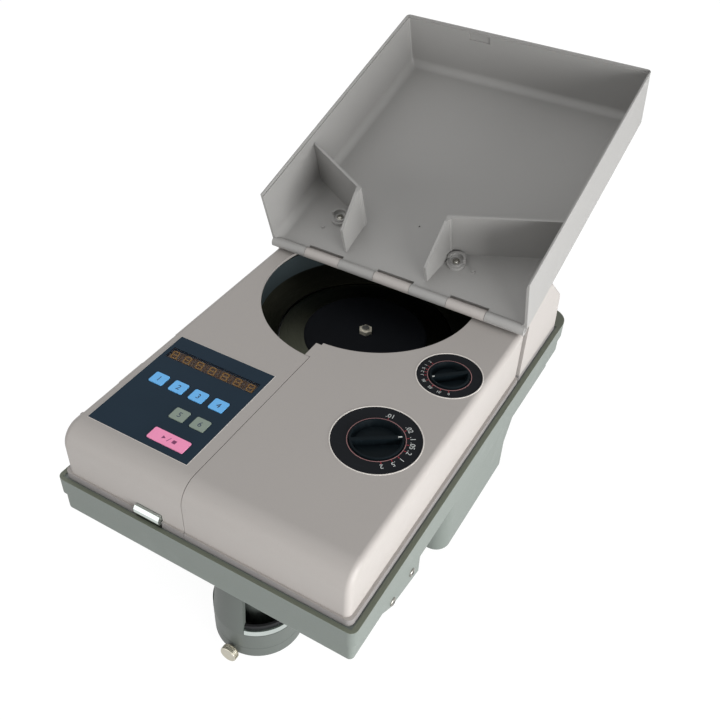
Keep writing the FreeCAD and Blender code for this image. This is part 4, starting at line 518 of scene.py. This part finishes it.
def words(text, size, thick=INK):
    """A line of figures as a thin solid mesh about its own middle."""
    clear()
    bpy.ops.object.text_add()
    obj = bpy.context.object
    obj.data.body = text
    obj.data.size = size
    obj.data.extrude = thick / 2
    obj.data.resolution_u = 3
    bpy.ops.object.convert(target="MESH")
    obj = bpy.context.object
    bpy.ops.object.origin_set(type="ORIGIN_GEOMETRY", center="BOUNDS")
    obj.location = (0.0, 0.0, thick / 2)
    bpy.ops.object.transform_apply(location=True, rotation=True, scale=True)
    return tidy(obj)


def put(obj, place):
    """Move a finished form to its place and apply it."""
    pick(obj)
    obj.matrix_world = place
    bpy.ops.object.transform_apply(location=True, rotation=True, scale=True)
    return obj


def copy_of(obj):
    """A copy with a mesh of its own."""
    twin = obj.copy()
    twin.data = obj.data.copy()
    bpy.context.scene.collection.objects.link(twin)
    return twin


def joined(*objs):
    """Several forms made one object."""
    clear()
    for obj in objs:
        obj.select_set(True)
    bpy.context.view_layer.objects.active = objs[0]
    if len(objs) > 1:
        bpy.ops.object.join()
    return objs[0]


def carve(obj, tool):
    """Take one solid from another."""
    pick(obj)
    cutter = obj.modifiers.new("carve", "BOOLEAN")
    cutter.operation = "DIFFERENCE"
    cutter.solver = "EXACT"
    cutter.object = tool
    bpy.ops.object.modifier_apply(modifier=cutter.name)
    bpy.data.objects.remove(tool)
    return obj


def complete(obj, name, material, body, angle=35.0):
    """Name, finish, shade and mount a piece."""
    obj.name = name
    obj.data.name = name
    obj.data.materials.clear()
    obj.data.materials.append(material)
    pick(obj)
    bpy.ops.object.shade_smooth_by_angle(angle=math.radians(angle))
    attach(obj, body)
    return obj


# Pieces

def ring_band(inner, outer, low, high, soft):
    """A flat ring with rounded upper edges."""
    return turned([
        (outer, low), (outer, high - soft), (outer - soft * 0.3, high - soft * 0.3), (outer - soft, high),
        (inner + soft, high), (inner + soft * 0.3, high - soft * 0.3), (inner, high - soft), (inner, low),
    ], 128, ring=True)


def screw(radius, tall, shank, depth):
    """Pan-head screw with a cross recess, head up, standing on z 0."""
    head = turned([
        (shank, -depth), (shank, 0.0), (radius, 0.0), (radius, tall * 0.35), (radius * 0.94, tall * 0.62),
        (radius * 0.78, tall * 0.85), (radius * 0.5, tall * 0.97), (radius * 0.15, tall),
    ], 40)
    long = radius * 1.15
    wide = radius * 0.26
    first = slab(long, wide, tall, centre=(0.0, 0.0, tall))
    second = slab(wide, long, tall, centre=(0.0, 0.0, tall))
    carve(head, first)
    return carve(head, second)


def segment(long, wide, tall):
    """One bar of a digit, along X, with pointed ends."""
    obj = slab(long, wide, tall)
    edit(obj, "EDGE")
    choose(obj, "edges", lambda e: abs(
        obj.data.vertices[e.vertices[0]].co.z - obj.data.vertices[e.vertices[1]].co.z) > tall / 2)
    bpy.ops.mesh.bevel(offset=wide * 0.46, offset_type="OFFSET", segments=1)
    bpy.ops.object.mode_set(mode="OBJECT")
    return obj


def digit(wide, tall, bar, thick, lean):
    """Seven bars and a point about the middle of a leaning digit."""
    gap = bar * 0.12
    half = (tall - bar) / 2
    flat = segment(wide - bar - 2 * gap, bar, thick)
    post = segment(half / math.cos(lean) - 2 * gap, bar, thick)
    parts = []
    for level in (-half, 0.0, half):
        parts.append(put(copy_of(flat), Matrix.Translation((-level * math.tan(lean), level, thick / 2))))
    for side in (-1, 1):
        for level in (-half / 2, half / 2):
            across = side * (wide - bar) / 2 - level * math.tan(lean)
            parts.append(put(copy_of(post), Matrix.Translation((across, level, thick / 2))
                             @ Matrix.Rotation(math.pi / 2 + lean, 4, "Z")))
    bpy.data.objects.remove(flat)
    bpy.data.objects.remove(post)
    dot = turned([(bar * 0.5, 0.0), (bar * 0.5, thick)], 16)
    parts.append(put(dot, Matrix.Translation((wide * 0.5 + bar * 0.75, -half, 0.0))))
    return joined(*parts)


# Settings that a user would change

class CounterColours(bpy.types.PropertyGroup):
    """Colours of the finishes."""

    cover: bpy.props.FloatVectorProperty(
        name="Covers", description="Colour of both covers", default=srgb(166, 161, 157), size=4,
        min=0.0, max=1.0, subtype="COLOR")
    lid: bpy.props.FloatVectorProperty(
        name="Lid", description="Colour of the lid and its guides", default=srgb(148, 147, 145), size=4,
        min=0.0, max=1.0, subtype="COLOR")
    case: bpy.props.FloatVectorProperty(
        name="Case", description="Colour of the lower case and the chute",
        default=srgb(109, 116, 111), size=4,
        min=0.0, max=1.0, subtype="COLOR")
    panel: bpy.props.FloatVectorProperty(
        name="Panel", description="Colour of the control panel", default=srgb(31, 45, 57), size=4,
        min=0.0, max=1.0, subtype="COLOR")
    blue: bpy.props.FloatVectorProperty(
        name="Blue keys", description="Colour of the four blue keys", default=srgb(104, 184, 245), size=4,
        min=0.0, max=1.0, subtype="COLOR")
    grey: bpy.props.FloatVectorProperty(
        name="Grey keys", description="Colour of the two grey keys", default=srgb(130, 144, 132), size=4,
        min=0.0, max=1.0, subtype="COLOR")
    pink: bpy.props.FloatVectorProperty(
        name="Pink key", description="Colour of the wide key", default=srgb(250, 150, 192), size=4,
        min=0.0, max=1.0, subtype="COLOR")
    scale_ring: bpy.props.FloatVectorProperty(
        name="Scale ring", description="Colour of the ring round each knob",
        default=srgb(158, 112, 112), size=4,
        min=0.0, max=1.0, subtype="COLOR")
    scale_ticks: bpy.props.FloatVectorProperty(
        name="Scale ticks", description="Colour of the tick at each number",
        default=srgb(168, 34, 50), size=4,
        min=0.0, max=1.0, subtype="COLOR")


class CounterSizes(bpy.types.PropertyGroup):
    """Sizes of printed and fitted details."""

    large_figures: bpy.props.FloatProperty(
        name="Large dial figures", description="Type size on the large dial", default=5.9 * MM,
        unit="LENGTH", subtype="DISTANCE")
    small_figures: bpy.props.FloatProperty(
        name="Small dial figures", description="Type size on the small dial", default=3.6 * MM,
        unit="LENGTH", subtype="DISTANCE")
    key_figures: bpy.props.FloatProperty(
        name="Key figures", description="Type size on the keys", default=7.4 * MM,
        unit="LENGTH", subtype="DISTANCE")
    digit_tall: bpy.props.FloatProperty(
        name="Digit height", description="Height of a display digit", default=8.7 * MM,
        unit="LENGTH", subtype="DISTANCE")
    digit_wide: bpy.props.FloatProperty(
        name="Digit width", description="Width of a display digit", default=6.6 * MM,
        unit="LENGTH", subtype="DISTANCE")
    flutes: bpy.props.IntProperty(
        name="Thumb screw flutes", description="Flutes round the thumb screw's head",
        default=36, min=12, max=72)


# Steps, a panel to run them from, and the add-on's register

class CounterOperator(bpy.types.Operator):
    """A step that dresses the coin counter."""

    bl_idname = "counter.step"
    bl_label = "Counter Step"
    bl_options = {"REGISTER", "UNDO"}

    @property
    def colours(self):
        return bpy.context.scene.counter_colours

    @property
    def sizes(self):
        return bpy.context.scene.counter_sizes

    def finish_of(self, slot):
        material = bpy.data.materials.get(finish_name(slot))
        if material is None:
            raise RuntimeError(f"no finish named {slot}: apply the finishes first")
        return material


class COUNTER_OT_finishes(CounterOperator):
    """Give every carried-over part its finish"""

    bl_idname = "counter.finishes"
    bl_label = "Apply Finishes"

    def execute(self, context):
        colours = self.colours
        bowl = Vector(JOINTS["disc_spin"]["pos_m"])
        made = [
            moulded("cover_grey", tuple(colours.cover), 0.5,
                    band=(SKIRT_FOOT, SKIRT_TOP, srgb(122, 119, 119))),
            moulded("lid_grey", tuple(colours.lid), 0.52),
            # The top of the case's rim is painted darker: painted shade in the gap under the covers
            moulded("case_green_grey", tuple(colours.case), 0.5, grain=1200.0, relief=0.07,
                    band=(RIM_TOP, RIM_SHADE_END, srgb(92, 97, 80))),
            printed_film("panel_navy", tuple(colours.panel)),
            tinted_window("window_brown", srgb(66, 38, 20)),
            key_cap("key_blue", tuple(colours.blue)),
            key_cap("key_grey", tuple(colours.grey)),
            key_cap("key_pink", tuple(colours.pink)),
            gloss_black("dial_black", (0.009, 0.010, 0.012, 1.0), rough=0.4, gloss=0.05),
            gloss_black("knob_black", (0.005, 0.008, 0.010, 1.0), rough=0.32, gloss=0.04),
            moulded("bowl_paint", srgb(54, 63, 66), 0.34, grain=900.0, relief=0.08, mottle=0.1, speck=0.2),
            # The bowl's steel is made dark and green-brown: painted dark and greenish reflections; its fine rings
            # are its turning marks
            turned_metal("bowl_steel", srgb(74, 76, 68), bowl, 0.22, tint=srgb(78, 80, 62)),
            rubber("pad_black", (0.0015, 0.002, 0.003, 1.0)),
            cast_metal("nut_steel", srgb(226, 220, 202), 0.34, 0.55),
            turned_metal("shaft_steel", srgb(170, 170, 168), bowl, 0.22),
            cast_metal("deck_steel", srgb(150, 152, 154), 0.38),
            cast_metal("bronze", srgb(150, 104, 56), 0.35),
            turned_metal("pulley_aluminium", srgb(190, 192, 194), bowl, 0.28),
            cast_metal("motor_iron", srgb(92, 94, 98), 0.42),
            rubber("rubber_black"),
            board("board_green", srgb(18, 74, 44)),
            gloss_black("sensor_black", rough=0.4),
            moulded("digits_dark", srgb(46, 27, 14), 0.45, grain=2000.0, relief=0.02, speck=0.0),
            moulded("switch_grey", srgb(120, 122, 124), 0.45),
            cast_metal("iron_core", srgb(74, 72, 70), 0.5),
            # The catch's lower part is painted dark: painted shadow and dark reflection from the gap under the
            # skirt
            plated("chrome", srgb(196, 204, 200), 0.14, band=(CATCH_SHADE_FOOT, CATCH_SHADE_TOP, srgb(96, 98, 92))),
            plated("nickel", srgb(190, 186, 172), 0.34, streak=1400.0),
            plated("screw_steel", srgb(150, 148, 142), 0.24),
        ]
        known = {material.name for material in made}
        for part in frame["record"]["subparts"]:
            finish = finish_name(part["material_slot"])
            if finish not in known:
                raise RuntimeError(f"{part['node']} has no finish for {part['material_slot']}")
            for place in frame["nodes"][part["node"]].material_slots:
                place.material = bpy.data.materials[finish]
        # The chute and the bag collar take a darker copy of the case's finish: painted shade under the tray
        shaded = moulded("chute_grey", shade(tuple(colours.case), 0.58), 0.5, grain=1200.0, relief=0.07)
        for name in ("chute_tube", "bag_collar"):
            for place in frame["nodes"][name].material_slots:
                place.material = shaded
        return {"FINISHED"}


class COUNTER_OT_knobs(CounterOperator):
    """Print the white pointers on both knobs"""

    bl_idname = "counter.knobs"
    bl_label = "Dress Knobs"

    # Knob, pointer's angle in degrees, and its start and end as shares of the knob's radius
    pointers = (("large", 35.0, 0.78, 0.93), ("small", 222.5, 0.78, 0.9))
    pointer_wide = 1.0 * MM
    pointer_tall = 0.2 * MM
    pointer_edge = 0.05 * MM

    def execute(self, context):
        pointer_ink = ink("pointer_ink", srgb(214, 216, 212))
        for name, angle, start, end in self.pointers:
            x, y, z = JOINTS[f"{name}_dial_turn"]["pos_m"]
            low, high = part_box(f"{name}_knob")
            radius = (high.x - low.x) / 2
            pointer = slab(radius * (end - start), self.pointer_wide, self.pointer_tall, self.pointer_edge,
                           centre=(radius * (start + end) / 2, 0.0, KNOB_FACE))
            put(pointer, on_top(x, y, 0.0, math.radians(angle)))
            complete(pointer, f"{name}_dial_pointer", pointer_ink, f"{name}_dial")
        return {"FINISHED"}


class COUNTER_OT_scales(CounterOperator):
    """Print the numbers and the rings on both dial plates and add pale rims round them, a painted highlight on
    their recess edges
    """

    bl_idname = "counter.scales"
    bl_label = "Add Dial Scales"

    # Figures and their angles in degrees
    large_marks = (
        (".01", 97.0), (".02", 53.0), (".1", 33.5), (".05", 17.0), (".2", 1.0), ("1", -18.0), (".5", -33.0),
        ("2", -53.0))
    small_marks = (
        ("2", 162.0), ("1", 176.0), (".5", -171.5), (".2", -161.0), (".1", -150.0), (".05", -132.0),
        (".02", -108.5), (".01", -86.0), ("0", -66.0))
    large_reach = 27.4 * MM
    small_reach = 22.2 * MM
    tick_wide = 0.5 * MM
    tick_long = 1.7 * MM
    tick_reach = 3.1 * MM
    ring_inner = 1.3 * MM
    ring_outer = 1.85 * MM
    ring_tall = 0.09 * MM
    ring_soft = 0.02 * MM
    # Sizes of the pale rim round each plate, a painted highlight on the recess edge
    rim_gap = 0.04 * MM
    rim_outer = 0.95 * MM
    rim_sunk = 0.5 * MM
    rim_proud = 0.3 * MM
    rim_soft = 0.2 * MM

    def execute(self, context):
        white = ink("scale_ink", srgb(200, 204, 202))
        red = ink("tick_ink", tuple(self.colours.scale_ticks))
        # Pale finish of the rims: a painted highlight
        pale = moulded("rim_pale", srgb(214, 209, 203), 0.4)
        ring_ink = ink("ring_ink", tuple(self.colours.scale_ring))
        face = -PLATE_SINK
        for name, marks, size, reach in (
                ("large", self.large_marks, self.sizes.large_figures, self.large_reach),
                ("small", self.small_marks, self.sizes.small_figures, self.small_reach)):
            x, y, z = JOINTS[f"{name}_dial_turn"]["pos_m"]
            knob_low, knob_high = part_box(f"{name}_knob")
            plate_low, plate_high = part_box(f"{name}_dial_plate")
            knob_radius = (knob_high.x - knob_low.x) / 2
            plate = (plate_high.x - plate_low.x) / 2
            figures = []
            ticks = []
            for text, angle in marks:
                place = on_top(x, y, face, math.radians(angle) - math.pi / 2)
                figures.append(put(words(text, size), place @ Matrix.Translation((0.0, reach, 0.0))))
                tick = slab(self.tick_wide, self.tick_long, INK,
                            centre=(0.0, knob_radius + self.tick_reach, INK / 2))
                ticks.append(put(tick, place))
            complete(joined(*figures), f"{name}_dial_figures", white, "case")
            complete(joined(*ticks), f"{name}_dial_ticks", red, "case")
            ring = ring_band(knob_radius + self.ring_inner, knob_radius + self.ring_outer, 0.0,
                             self.ring_tall, self.ring_soft)
            complete(put(ring, on_top(x, y, face)), f"{name}_dial_ring", ring_ink, "case")
            # A pale ring round the plate: painted highlight on the edge of its recess
            rim = ring_band(plate + self.rim_gap, plate + self.rim_outer, -self.rim_sunk,
                            self.rim_proud, self.rim_soft)
            complete(put(rim, on_top(x, y)), f"{name}_dial_rim", pale, "case")
        return {"FINISHED"}


class COUNTER_OT_panel(CounterOperator):
    """Frame the control panel with a pale edge, a painted highlight on its recess edge, and mark the keys with
    plain figures
    """

    bl_idname = "counter.panel"
    bl_label = "Add Panel Details"

    # Sizes of the pale frame round the panel, a painted highlight on its recess edge
    edge_past = 0.45 * MM
    edge_wide = 0.38 * MM
    edge_tall = 0.5 * MM
    edge_sunk = 0.36 * MM
    numbered = ("key_blue_1", "key_blue_2", "key_blue_3", "key_blue_4", "key_grey_1", "key_grey_2")
    sign_reach = 5.0 * MM
    arrow_radius = 1.9 * MM
    stroke_wide = 0.5 * MM
    stroke_long = 4.4 * MM
    stroke_turn = -0.35
    square_side = 3.2 * MM

    def execute(self, context):
        low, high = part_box("control_panel")
        centre = (low + high) / 2
        wide = high.x - low.x + 2 * self.edge_past
        deep = high.y - low.y + 2 * self.edge_past
        # A pale frame round the panel: painted highlight on the recess edge
        clear()
        bpy.ops.mesh.primitive_plane_add(size=1.0)
        highlight_frame = bpy.context.object
        highlight_frame.scale = (wide, deep, 1.0)
        bpy.ops.object.transform_apply(location=True, rotation=True, scale=True)
        edit(highlight_frame)
        bpy.ops.mesh.select_all(action="SELECT")
        bpy.ops.mesh.inset(thickness=self.edge_wide, depth=0.0)
        bpy.ops.mesh.delete(type="FACE")
        bpy.ops.mesh.select_all(action="SELECT")
        bpy.ops.mesh.extrude_region_move(TRANSFORM_OT_translate={"value": (0.0, 0.0, self.edge_tall)})
        tidy(highlight_frame)
        put(highlight_frame, on_top(centre.x, centre.y, -self.edge_sunk))
        complete(highlight_frame, "panel_edge", self.finish_of("rim_pale"), "case")
        dark = ink("key_ink", srgb(30, 48, 74))
        for number, key in enumerate(self.numbered, 1):
            place = middle(key)
            figure = put(words(str(number), self.sizes.key_figures), on_top(place.x, place.y, KEY_FACE))
            complete(figure, f"{key}_figure", dark, f"{key}_cap")
        place = middle("key_pink")
        arrow = turned([(self.arrow_radius, 0.0), (self.arrow_radius, INK)], 3)
        put(arrow, Matrix.Translation((-self.sign_reach, 0.0, 0.0)) @ Matrix.Rotation(-math.pi / 2, 4, "Z"))
        stroke = slab(self.stroke_wide, self.stroke_long, INK)
        put(stroke, Matrix.Translation((0.0, 0.0, INK / 2)) @ Matrix.Rotation(self.stroke_turn, 4, "Z"))
        square = slab(self.square_side, self.square_side, INK, centre=(self.sign_reach, 0.0, INK / 2))
        marks = put(joined(arrow, stroke, square), on_top(place.x, place.y, KEY_FACE))
        complete(marks, "key_pink_marks", ink("pink_ink", srgb(120, 40, 92)), "key_pink_cap")
        return {"FINISHED"}


class COUNTER_OT_display(CounterOperator):
    """Build the seven digits under the tinted window"""

    bl_idname = "counter.display"
    bl_label = "Add Display Digits"

    digits = 7
    pitch = 12.63 * MM
    bar = 1.15 * MM
    thick = 0.2 * MM
    lean = math.radians(10.0)
    ledge = 3.2 * MM
    wall_wide = 0.3 * MM
    wall_past = 0.6 * MM

    def execute(self, context):
        centre = middle("display_module")
        thick = self.thick
        window_low, window_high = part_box("display_window")
        face = slab(window_high.x - window_low.x - self.ledge, window_high.y - window_low.y - self.ledge,
                    DISPLAY_FACE - MODULE_FACE, centre=(0.0, 0.0, (DISPLAY_FACE + MODULE_FACE) / 2))
        put(face, on_top(centre.x, centre.y))
        complete(face, "display_face", self.finish_of("digits_dark"), "case")
        amber = ink("segment_amber", srgb(150, 112, 50), 0.4)
        wall_ink = ink("digit_wall", srgb(110, 82, 40), 0.5)
        first = digit(self.sizes.digit_wide, self.sizes.digit_tall, self.bar, thick, self.lean)
        parts = []
        walls = []
        for number in range(self.digits):
            across = (number - (self.digits - 1) / 2) * self.pitch
            parts.append(put(copy_of(first), on_top(centre.x + across, centre.y, DISPLAY_FACE)))
            if number < self.digits - 1:
                wall = slab(self.wall_wide, self.sizes.digit_tall + self.wall_past, thick,
                            centre=(0.0, 0.0, thick / 2))
                between = centre.x + across + self.pitch / 2
                walls.append(put(wall, on_top(between, centre.y, DISPLAY_FACE, self.lean)))
        bpy.data.objects.remove(first)
        complete(joined(*parts), "display_digits", amber, "case")
        complete(joined(*walls), "digit_walls", wall_ink, "case")
        return {"FINISHED"}


class COUNTER_OT_screws(CounterOperator):
    """Model the cross-head screws of the guides and of the side tab"""

    bl_idname = "counter.screws"
    bl_label = "Add Screws"

    # Guide, and its lug's place across the lid and from the hinge
    lugs = (("left", -82.0 * MM, 47.0 * MM), ("right", 43.5 * MM, 42.0 * MM))
    lug_tall = 3.0 * MM
    head = 2.7 * MM
    head_tall = 1.3 * MM
    head_turn = 0.5
    shank = 1.9 * MM
    washer_gap = 0.2 * MM
    washer_past = 0.9 * MM
    washer_tall = 0.35 * MM
    lip_inner = 5.6 * MM
    lip_outer = 6.3 * MM
    lip_tall = 1.2 * MM
    lip_soft = 0.12 * MM
    tab_tall = 1.5 * MM
    tab_deep = 4.0 * MM

    def execute(self, context):
        steel = self.finish_of("screw_steel")
        grey = self.finish_of("lid_grey")
        floor = LID_FLOOR + self.lug_tall
        for name, x, far in self.lugs:
            part = screw(self.head, self.head_tall, self.shank, self.lug_tall)
            put(part, in_lid(x, far, floor) @ Matrix.Rotation(self.head_turn, 4, "Z"))
            complete(part, f"{name}_guide_screw", steel, "lid")
            if name == "left":
                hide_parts("guide_screws")
            for label, inner, outer, high, finish, slot in (
                    ("washer", self.shank + self.washer_gap, self.head + self.washer_past, self.washer_tall,
                     steel, "screw_steel"),
                    ("lip", self.lip_inner, self.lip_outer, self.lip_tall, grey, "lid_grey")):
                ring = ring_band(inner, outer, 0.0, high, self.lip_soft)
                put(ring, in_lid(x, far, floor))
                complete(ring, f"{name}_guide_{label}", finish, "lid")
        low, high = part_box("side_screws")
        tab_head = (high.z - low.z) / 2
        for name, y, turn in (("front", low.y + tab_head, 0.3), ("rear", high.y - tab_head, 1.1)):
            place = Matrix.Translation((high.x - self.tab_tall, y, (low.z + high.z) / 2))
            outwards = Matrix.Rotation(math.pi / 2, 4, "Y") @ Matrix.Rotation(turn, 4, "Z")
            part = put(screw(tab_head, self.tab_tall, self.shank, self.tab_deep), place @ outwards)
            complete(part, f"{name}_tab_screw", steel, "case")
            if name == "front":
                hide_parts("side_screws")
        return {"FINISHED"}


class COUNTER_OT_thumb_screw(CounterOperator):
    """Model the knurled thumb screw of the bag collar"""

    bl_idname = "counter.thumb_screw"
    bl_label = "Add Thumb Screw"

    head = 6.5 * MM
    shank = 2.5 * MM
    collar_tall = 1.0 * MM
    soft = 0.5 * MM
    crown = 0.7 * MM
    crown_step = 0.15 * MM
    dish = 0.12 * MM
    flute_edge = 0.18 * MM
    flute_deep = 0.35 * MM
    least_flute = 3.0 * MM * MM

    def execute(self, context):
        low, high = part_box("thumb_screw")
        radius = (high.x - low.x) / 2
        head = self.head
        back = high.y - low.y - head
        piece = turned([
            (self.shank, -back), (self.shank, 0.0), (radius * 0.8, 0.0), (radius * 0.84, self.soft),
            (radius * 0.84, self.collar_tall), (radius * 0.96, self.collar_tall),
            (radius, self.collar_tall + self.soft), (radius, head - self.crown),
            (radius * 0.94, head - self.crown_step), (radius * 0.86, head),
            (radius * 0.8, head - self.dish), (radius * 0.2, head - self.dish),
        ], self.sizes.flutes)
        edit(piece)
        choose(piece, "polygons", lambda f: abs(f.normal.z) < 0.01 and f.center.xy.length > radius * 0.9
               and f.area > self.least_flute)
        bpy.ops.mesh.inset(thickness=self.flute_edge, depth=-self.flute_deep, use_individual=True)
        bpy.ops.object.mode_set(mode="OBJECT")
        x, y, z = JOINTS["thumb_turn"]["pos_m"]
        place = Matrix.Translation((x, low.y + head, z)) @ Matrix.Rotation(math.pi / 2, 4, "X")
        complete(put(piece, place), "knurled_screw", self.finish_of("nickel"), "thumb")
        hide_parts("thumb_screw")
        return {"FINISHED"}


class COUNTER_OT_collar_seam(CounterOperator):
    """Add the parting line round the bag collar"""

    bl_idname = "counter.collar_seam"
    bl_label = "Add Collar Seam"

    seam_sunk = 0.3 * MM
    seam_proud = 0.04 * MM
    seam_tall = 0.55 * MM
    seam_soft = 0.03 * MM
    seam_height = 13.0 * MM

    def execute(self, context):
        low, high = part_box("bag_collar")
        radius = (high.x - low.x) / 2
        seam = ring_band(radius - self.seam_sunk, radius + self.seam_proud, 0.0, self.seam_tall,
                         self.seam_soft)
        put(seam, Matrix.Translation(((low.x + high.x) / 2, (low.y + high.y) / 2, low.z + self.seam_height)))
        complete(seam, "collar_seam", moulded("seam_dark", srgb(70, 76, 72)), "case")
        return {"FINISHED"}


class COUNTER_OT_lid_marks(CounterOperator):
    """Add the faint ejector rings on the lid's floor"""

    bl_idname = "counter.lid_marks"
    bl_label = "Add Lid Marks"

    # Places across the lid and from the hinge
    places = ((102.0 * MM, 252.0 * MM), (107.0 * MM, 34.0 * MM), (-100.0 * MM, 250.0 * MM))
    mark_inner = 5.2 * MM
    mark_outer = 5.6 * MM
    mark_sunk = 0.1 * MM
    mark_proud = 0.06 * MM
    mark_soft = 0.03 * MM

    def execute(self, context):
        for number, (x, far) in enumerate(self.places, 1):
            ring = ring_band(self.mark_inner, self.mark_outer, -self.mark_sunk, self.mark_proud,
                             self.mark_soft)
            put(ring, in_lid(x, far, LID_FLOOR))
            complete(ring, f"lid_mark_{number}", self.finish_of("lid_grey"), "lid")
        return {"FINISHED"}


class COUNTER_OT_stage(CounterOperator):
    """Set the pale floor, the soft lamps, the world and the camera"""

    bl_idname = "counter.stage"
    bl_label = "Set the Stage"

    # Lamp, its place and its sides in metres, and its power in watts
    lamps = (
        ("right_window", (1.5, -0.55, 0.3), (1.5, 0.7), 40.0),
        ("overhead", (-0.35, -0.25, 1.75), (1.6, 1.6), 7.0),
        ("front_fill", (-0.6, -1.7, 0.6), (1.4, 0.9), 4.5),
    )
    aimed_at = Vector((0.0, 0.0, 0.15))
    floor_side = 8.0
    floor_grey = (0.82, 0.82, 0.82, 1.0)
    floor_glow = 1.1
    glow_share = 0.86
    world_light = 0.42

    def execute(self, context):
        clear()
        bpy.ops.mesh.primitive_plane_add(size=self.floor_side, location=(0.0, 0.0, 0.0))
        floor = bpy.context.object
        floor.name = "floor"
        bpy.ops.object.transform_apply(location=True, rotation=True, scale=True)
        paint = Finish("floor_paint")
        paint.set(Base_Color=self.floor_grey, Roughness=0.9)
        glow = paint.node("ShaderNodeEmission", {}, {"Color": WHITE, "Strength": self.floor_glow})
        share = paint.seen() * self.glow_share
        paint.show(paint.node("ShaderNodeMixShader", {}, {0: share, 1: paint.surface, 2: glow}))
        floor.data.materials.append(paint.material)
        for lamp in self.lamps:
            self.lamp(*lamp)
        self.world(context.scene)
        self.camera(context.scene)
        context.scene.view_settings.view_transform = "Standard"
        return {"FINISHED"}

    def lamp(self, name, place, size, power):
        """Add a soft lamp that points at the machine."""
        clear()
        bpy.ops.object.light_add(type="AREA", location=place)
        lamp = bpy.context.object
        lamp.name = name
        lamp.data.shape = "RECTANGLE"
        lamp.data.size, lamp.data.size_y = size
        lamp.data.energy = power
        aim = self.aimed_at - Vector(place)
        lamp.rotation_euler = aim.to_track_quat("-Z", "Y").to_euler()

    def world(self, scene):
        """Light the scene softly and show white behind it."""
        world = bpy.data.worlds.new("studio")
        scene.world = world
        world.use_nodes = True
        sky = Nodes(world.node_tree)
        dim = sky.node("ShaderNodeBackground", {}, {"Color": WHITE, "Strength": self.world_light})
        bright = sky.node("ShaderNodeBackground", {}, {"Color": WHITE, "Strength": 1.0})
        blend = sky.node("ShaderNodeMixShader", {}, {0: sky.seen(), 1: dim, 2: bright})
        sky.node("ShaderNodeOutputWorld", {}, {"Surface": blend})

    def camera(self, scene):
        """Look at the machine from where the photo was taken."""
        clear()
        bpy.ops.object.camera_add()
        camera = bpy.context.object
        camera.name = "photo_camera"
        turn = Matrix.Rotation(CAMERA_AZIMUTH, 4, "Z")
        tilt = Matrix.Rotation(math.pi / 2 - CAMERA_ELEVATION, 4, "X")
        roll = Matrix.Rotation(CAMERA_ROLL, 4, "Z")
        camera.matrix_world = Matrix.Translation(CAMERA_PLACE) @ turn @ tilt @ roll
        camera.data.lens = CAMERA_LENS
        camera.data.clip_start = 0.01
        camera.data.clip_end = 100.0
        scene.camera = camera


STEPS = (
    COUNTER_OT_finishes, COUNTER_OT_knobs, COUNTER_OT_scales, COUNTER_OT_panel, COUNTER_OT_display,
    COUNTER_OT_screws, COUNTER_OT_thumb_screw, COUNTER_OT_collar_seam, COUNTER_OT_lid_marks, COUNTER_OT_stage,
)


class VIEW3D_PT_counter(bpy.types.Panel):
    """Lists the steps, colours and sizes"""

    bl_idname = "VIEW3D_PT_counter"
    bl_label = "Coin Counter"
    bl_space_type = "VIEW_3D"
    bl_region_type = "UI"
    bl_category = "Counter"

    def draw(self, context):
        layout = self.layout
        for step in STEPS:
            layout.operator(step.bl_idname)
        for group in (context.scene.counter_colours, context.scene.counter_sizes):
            for name in group.__annotations__:
                layout.prop(group, name)


CLASSES = (CounterColours, CounterSizes, *STEPS, VIEW3D_PT_counter)


def register():
    for item in CLASSES:
        bpy.utils.register_class(item)
    bpy.types.Scene.counter_colours = bpy.props.PointerProperty(type=CounterColours)
    bpy.types.Scene.counter_sizes = bpy.props.PointerProperty(type=CounterSizes)


def unregister():
    del bpy.types.Scene.counter_sizes
    del bpy.types.Scene.counter_colours
    for item in reversed(CLASSES):
        bpy.utils.unregister_class(item)


def main():
    register()
    for step in STEPS:
        group, name = step.bl_idname.split(".")
        getattr(getattr(bpy.ops, group), name)()


if __name__ == "__main__":
    main()
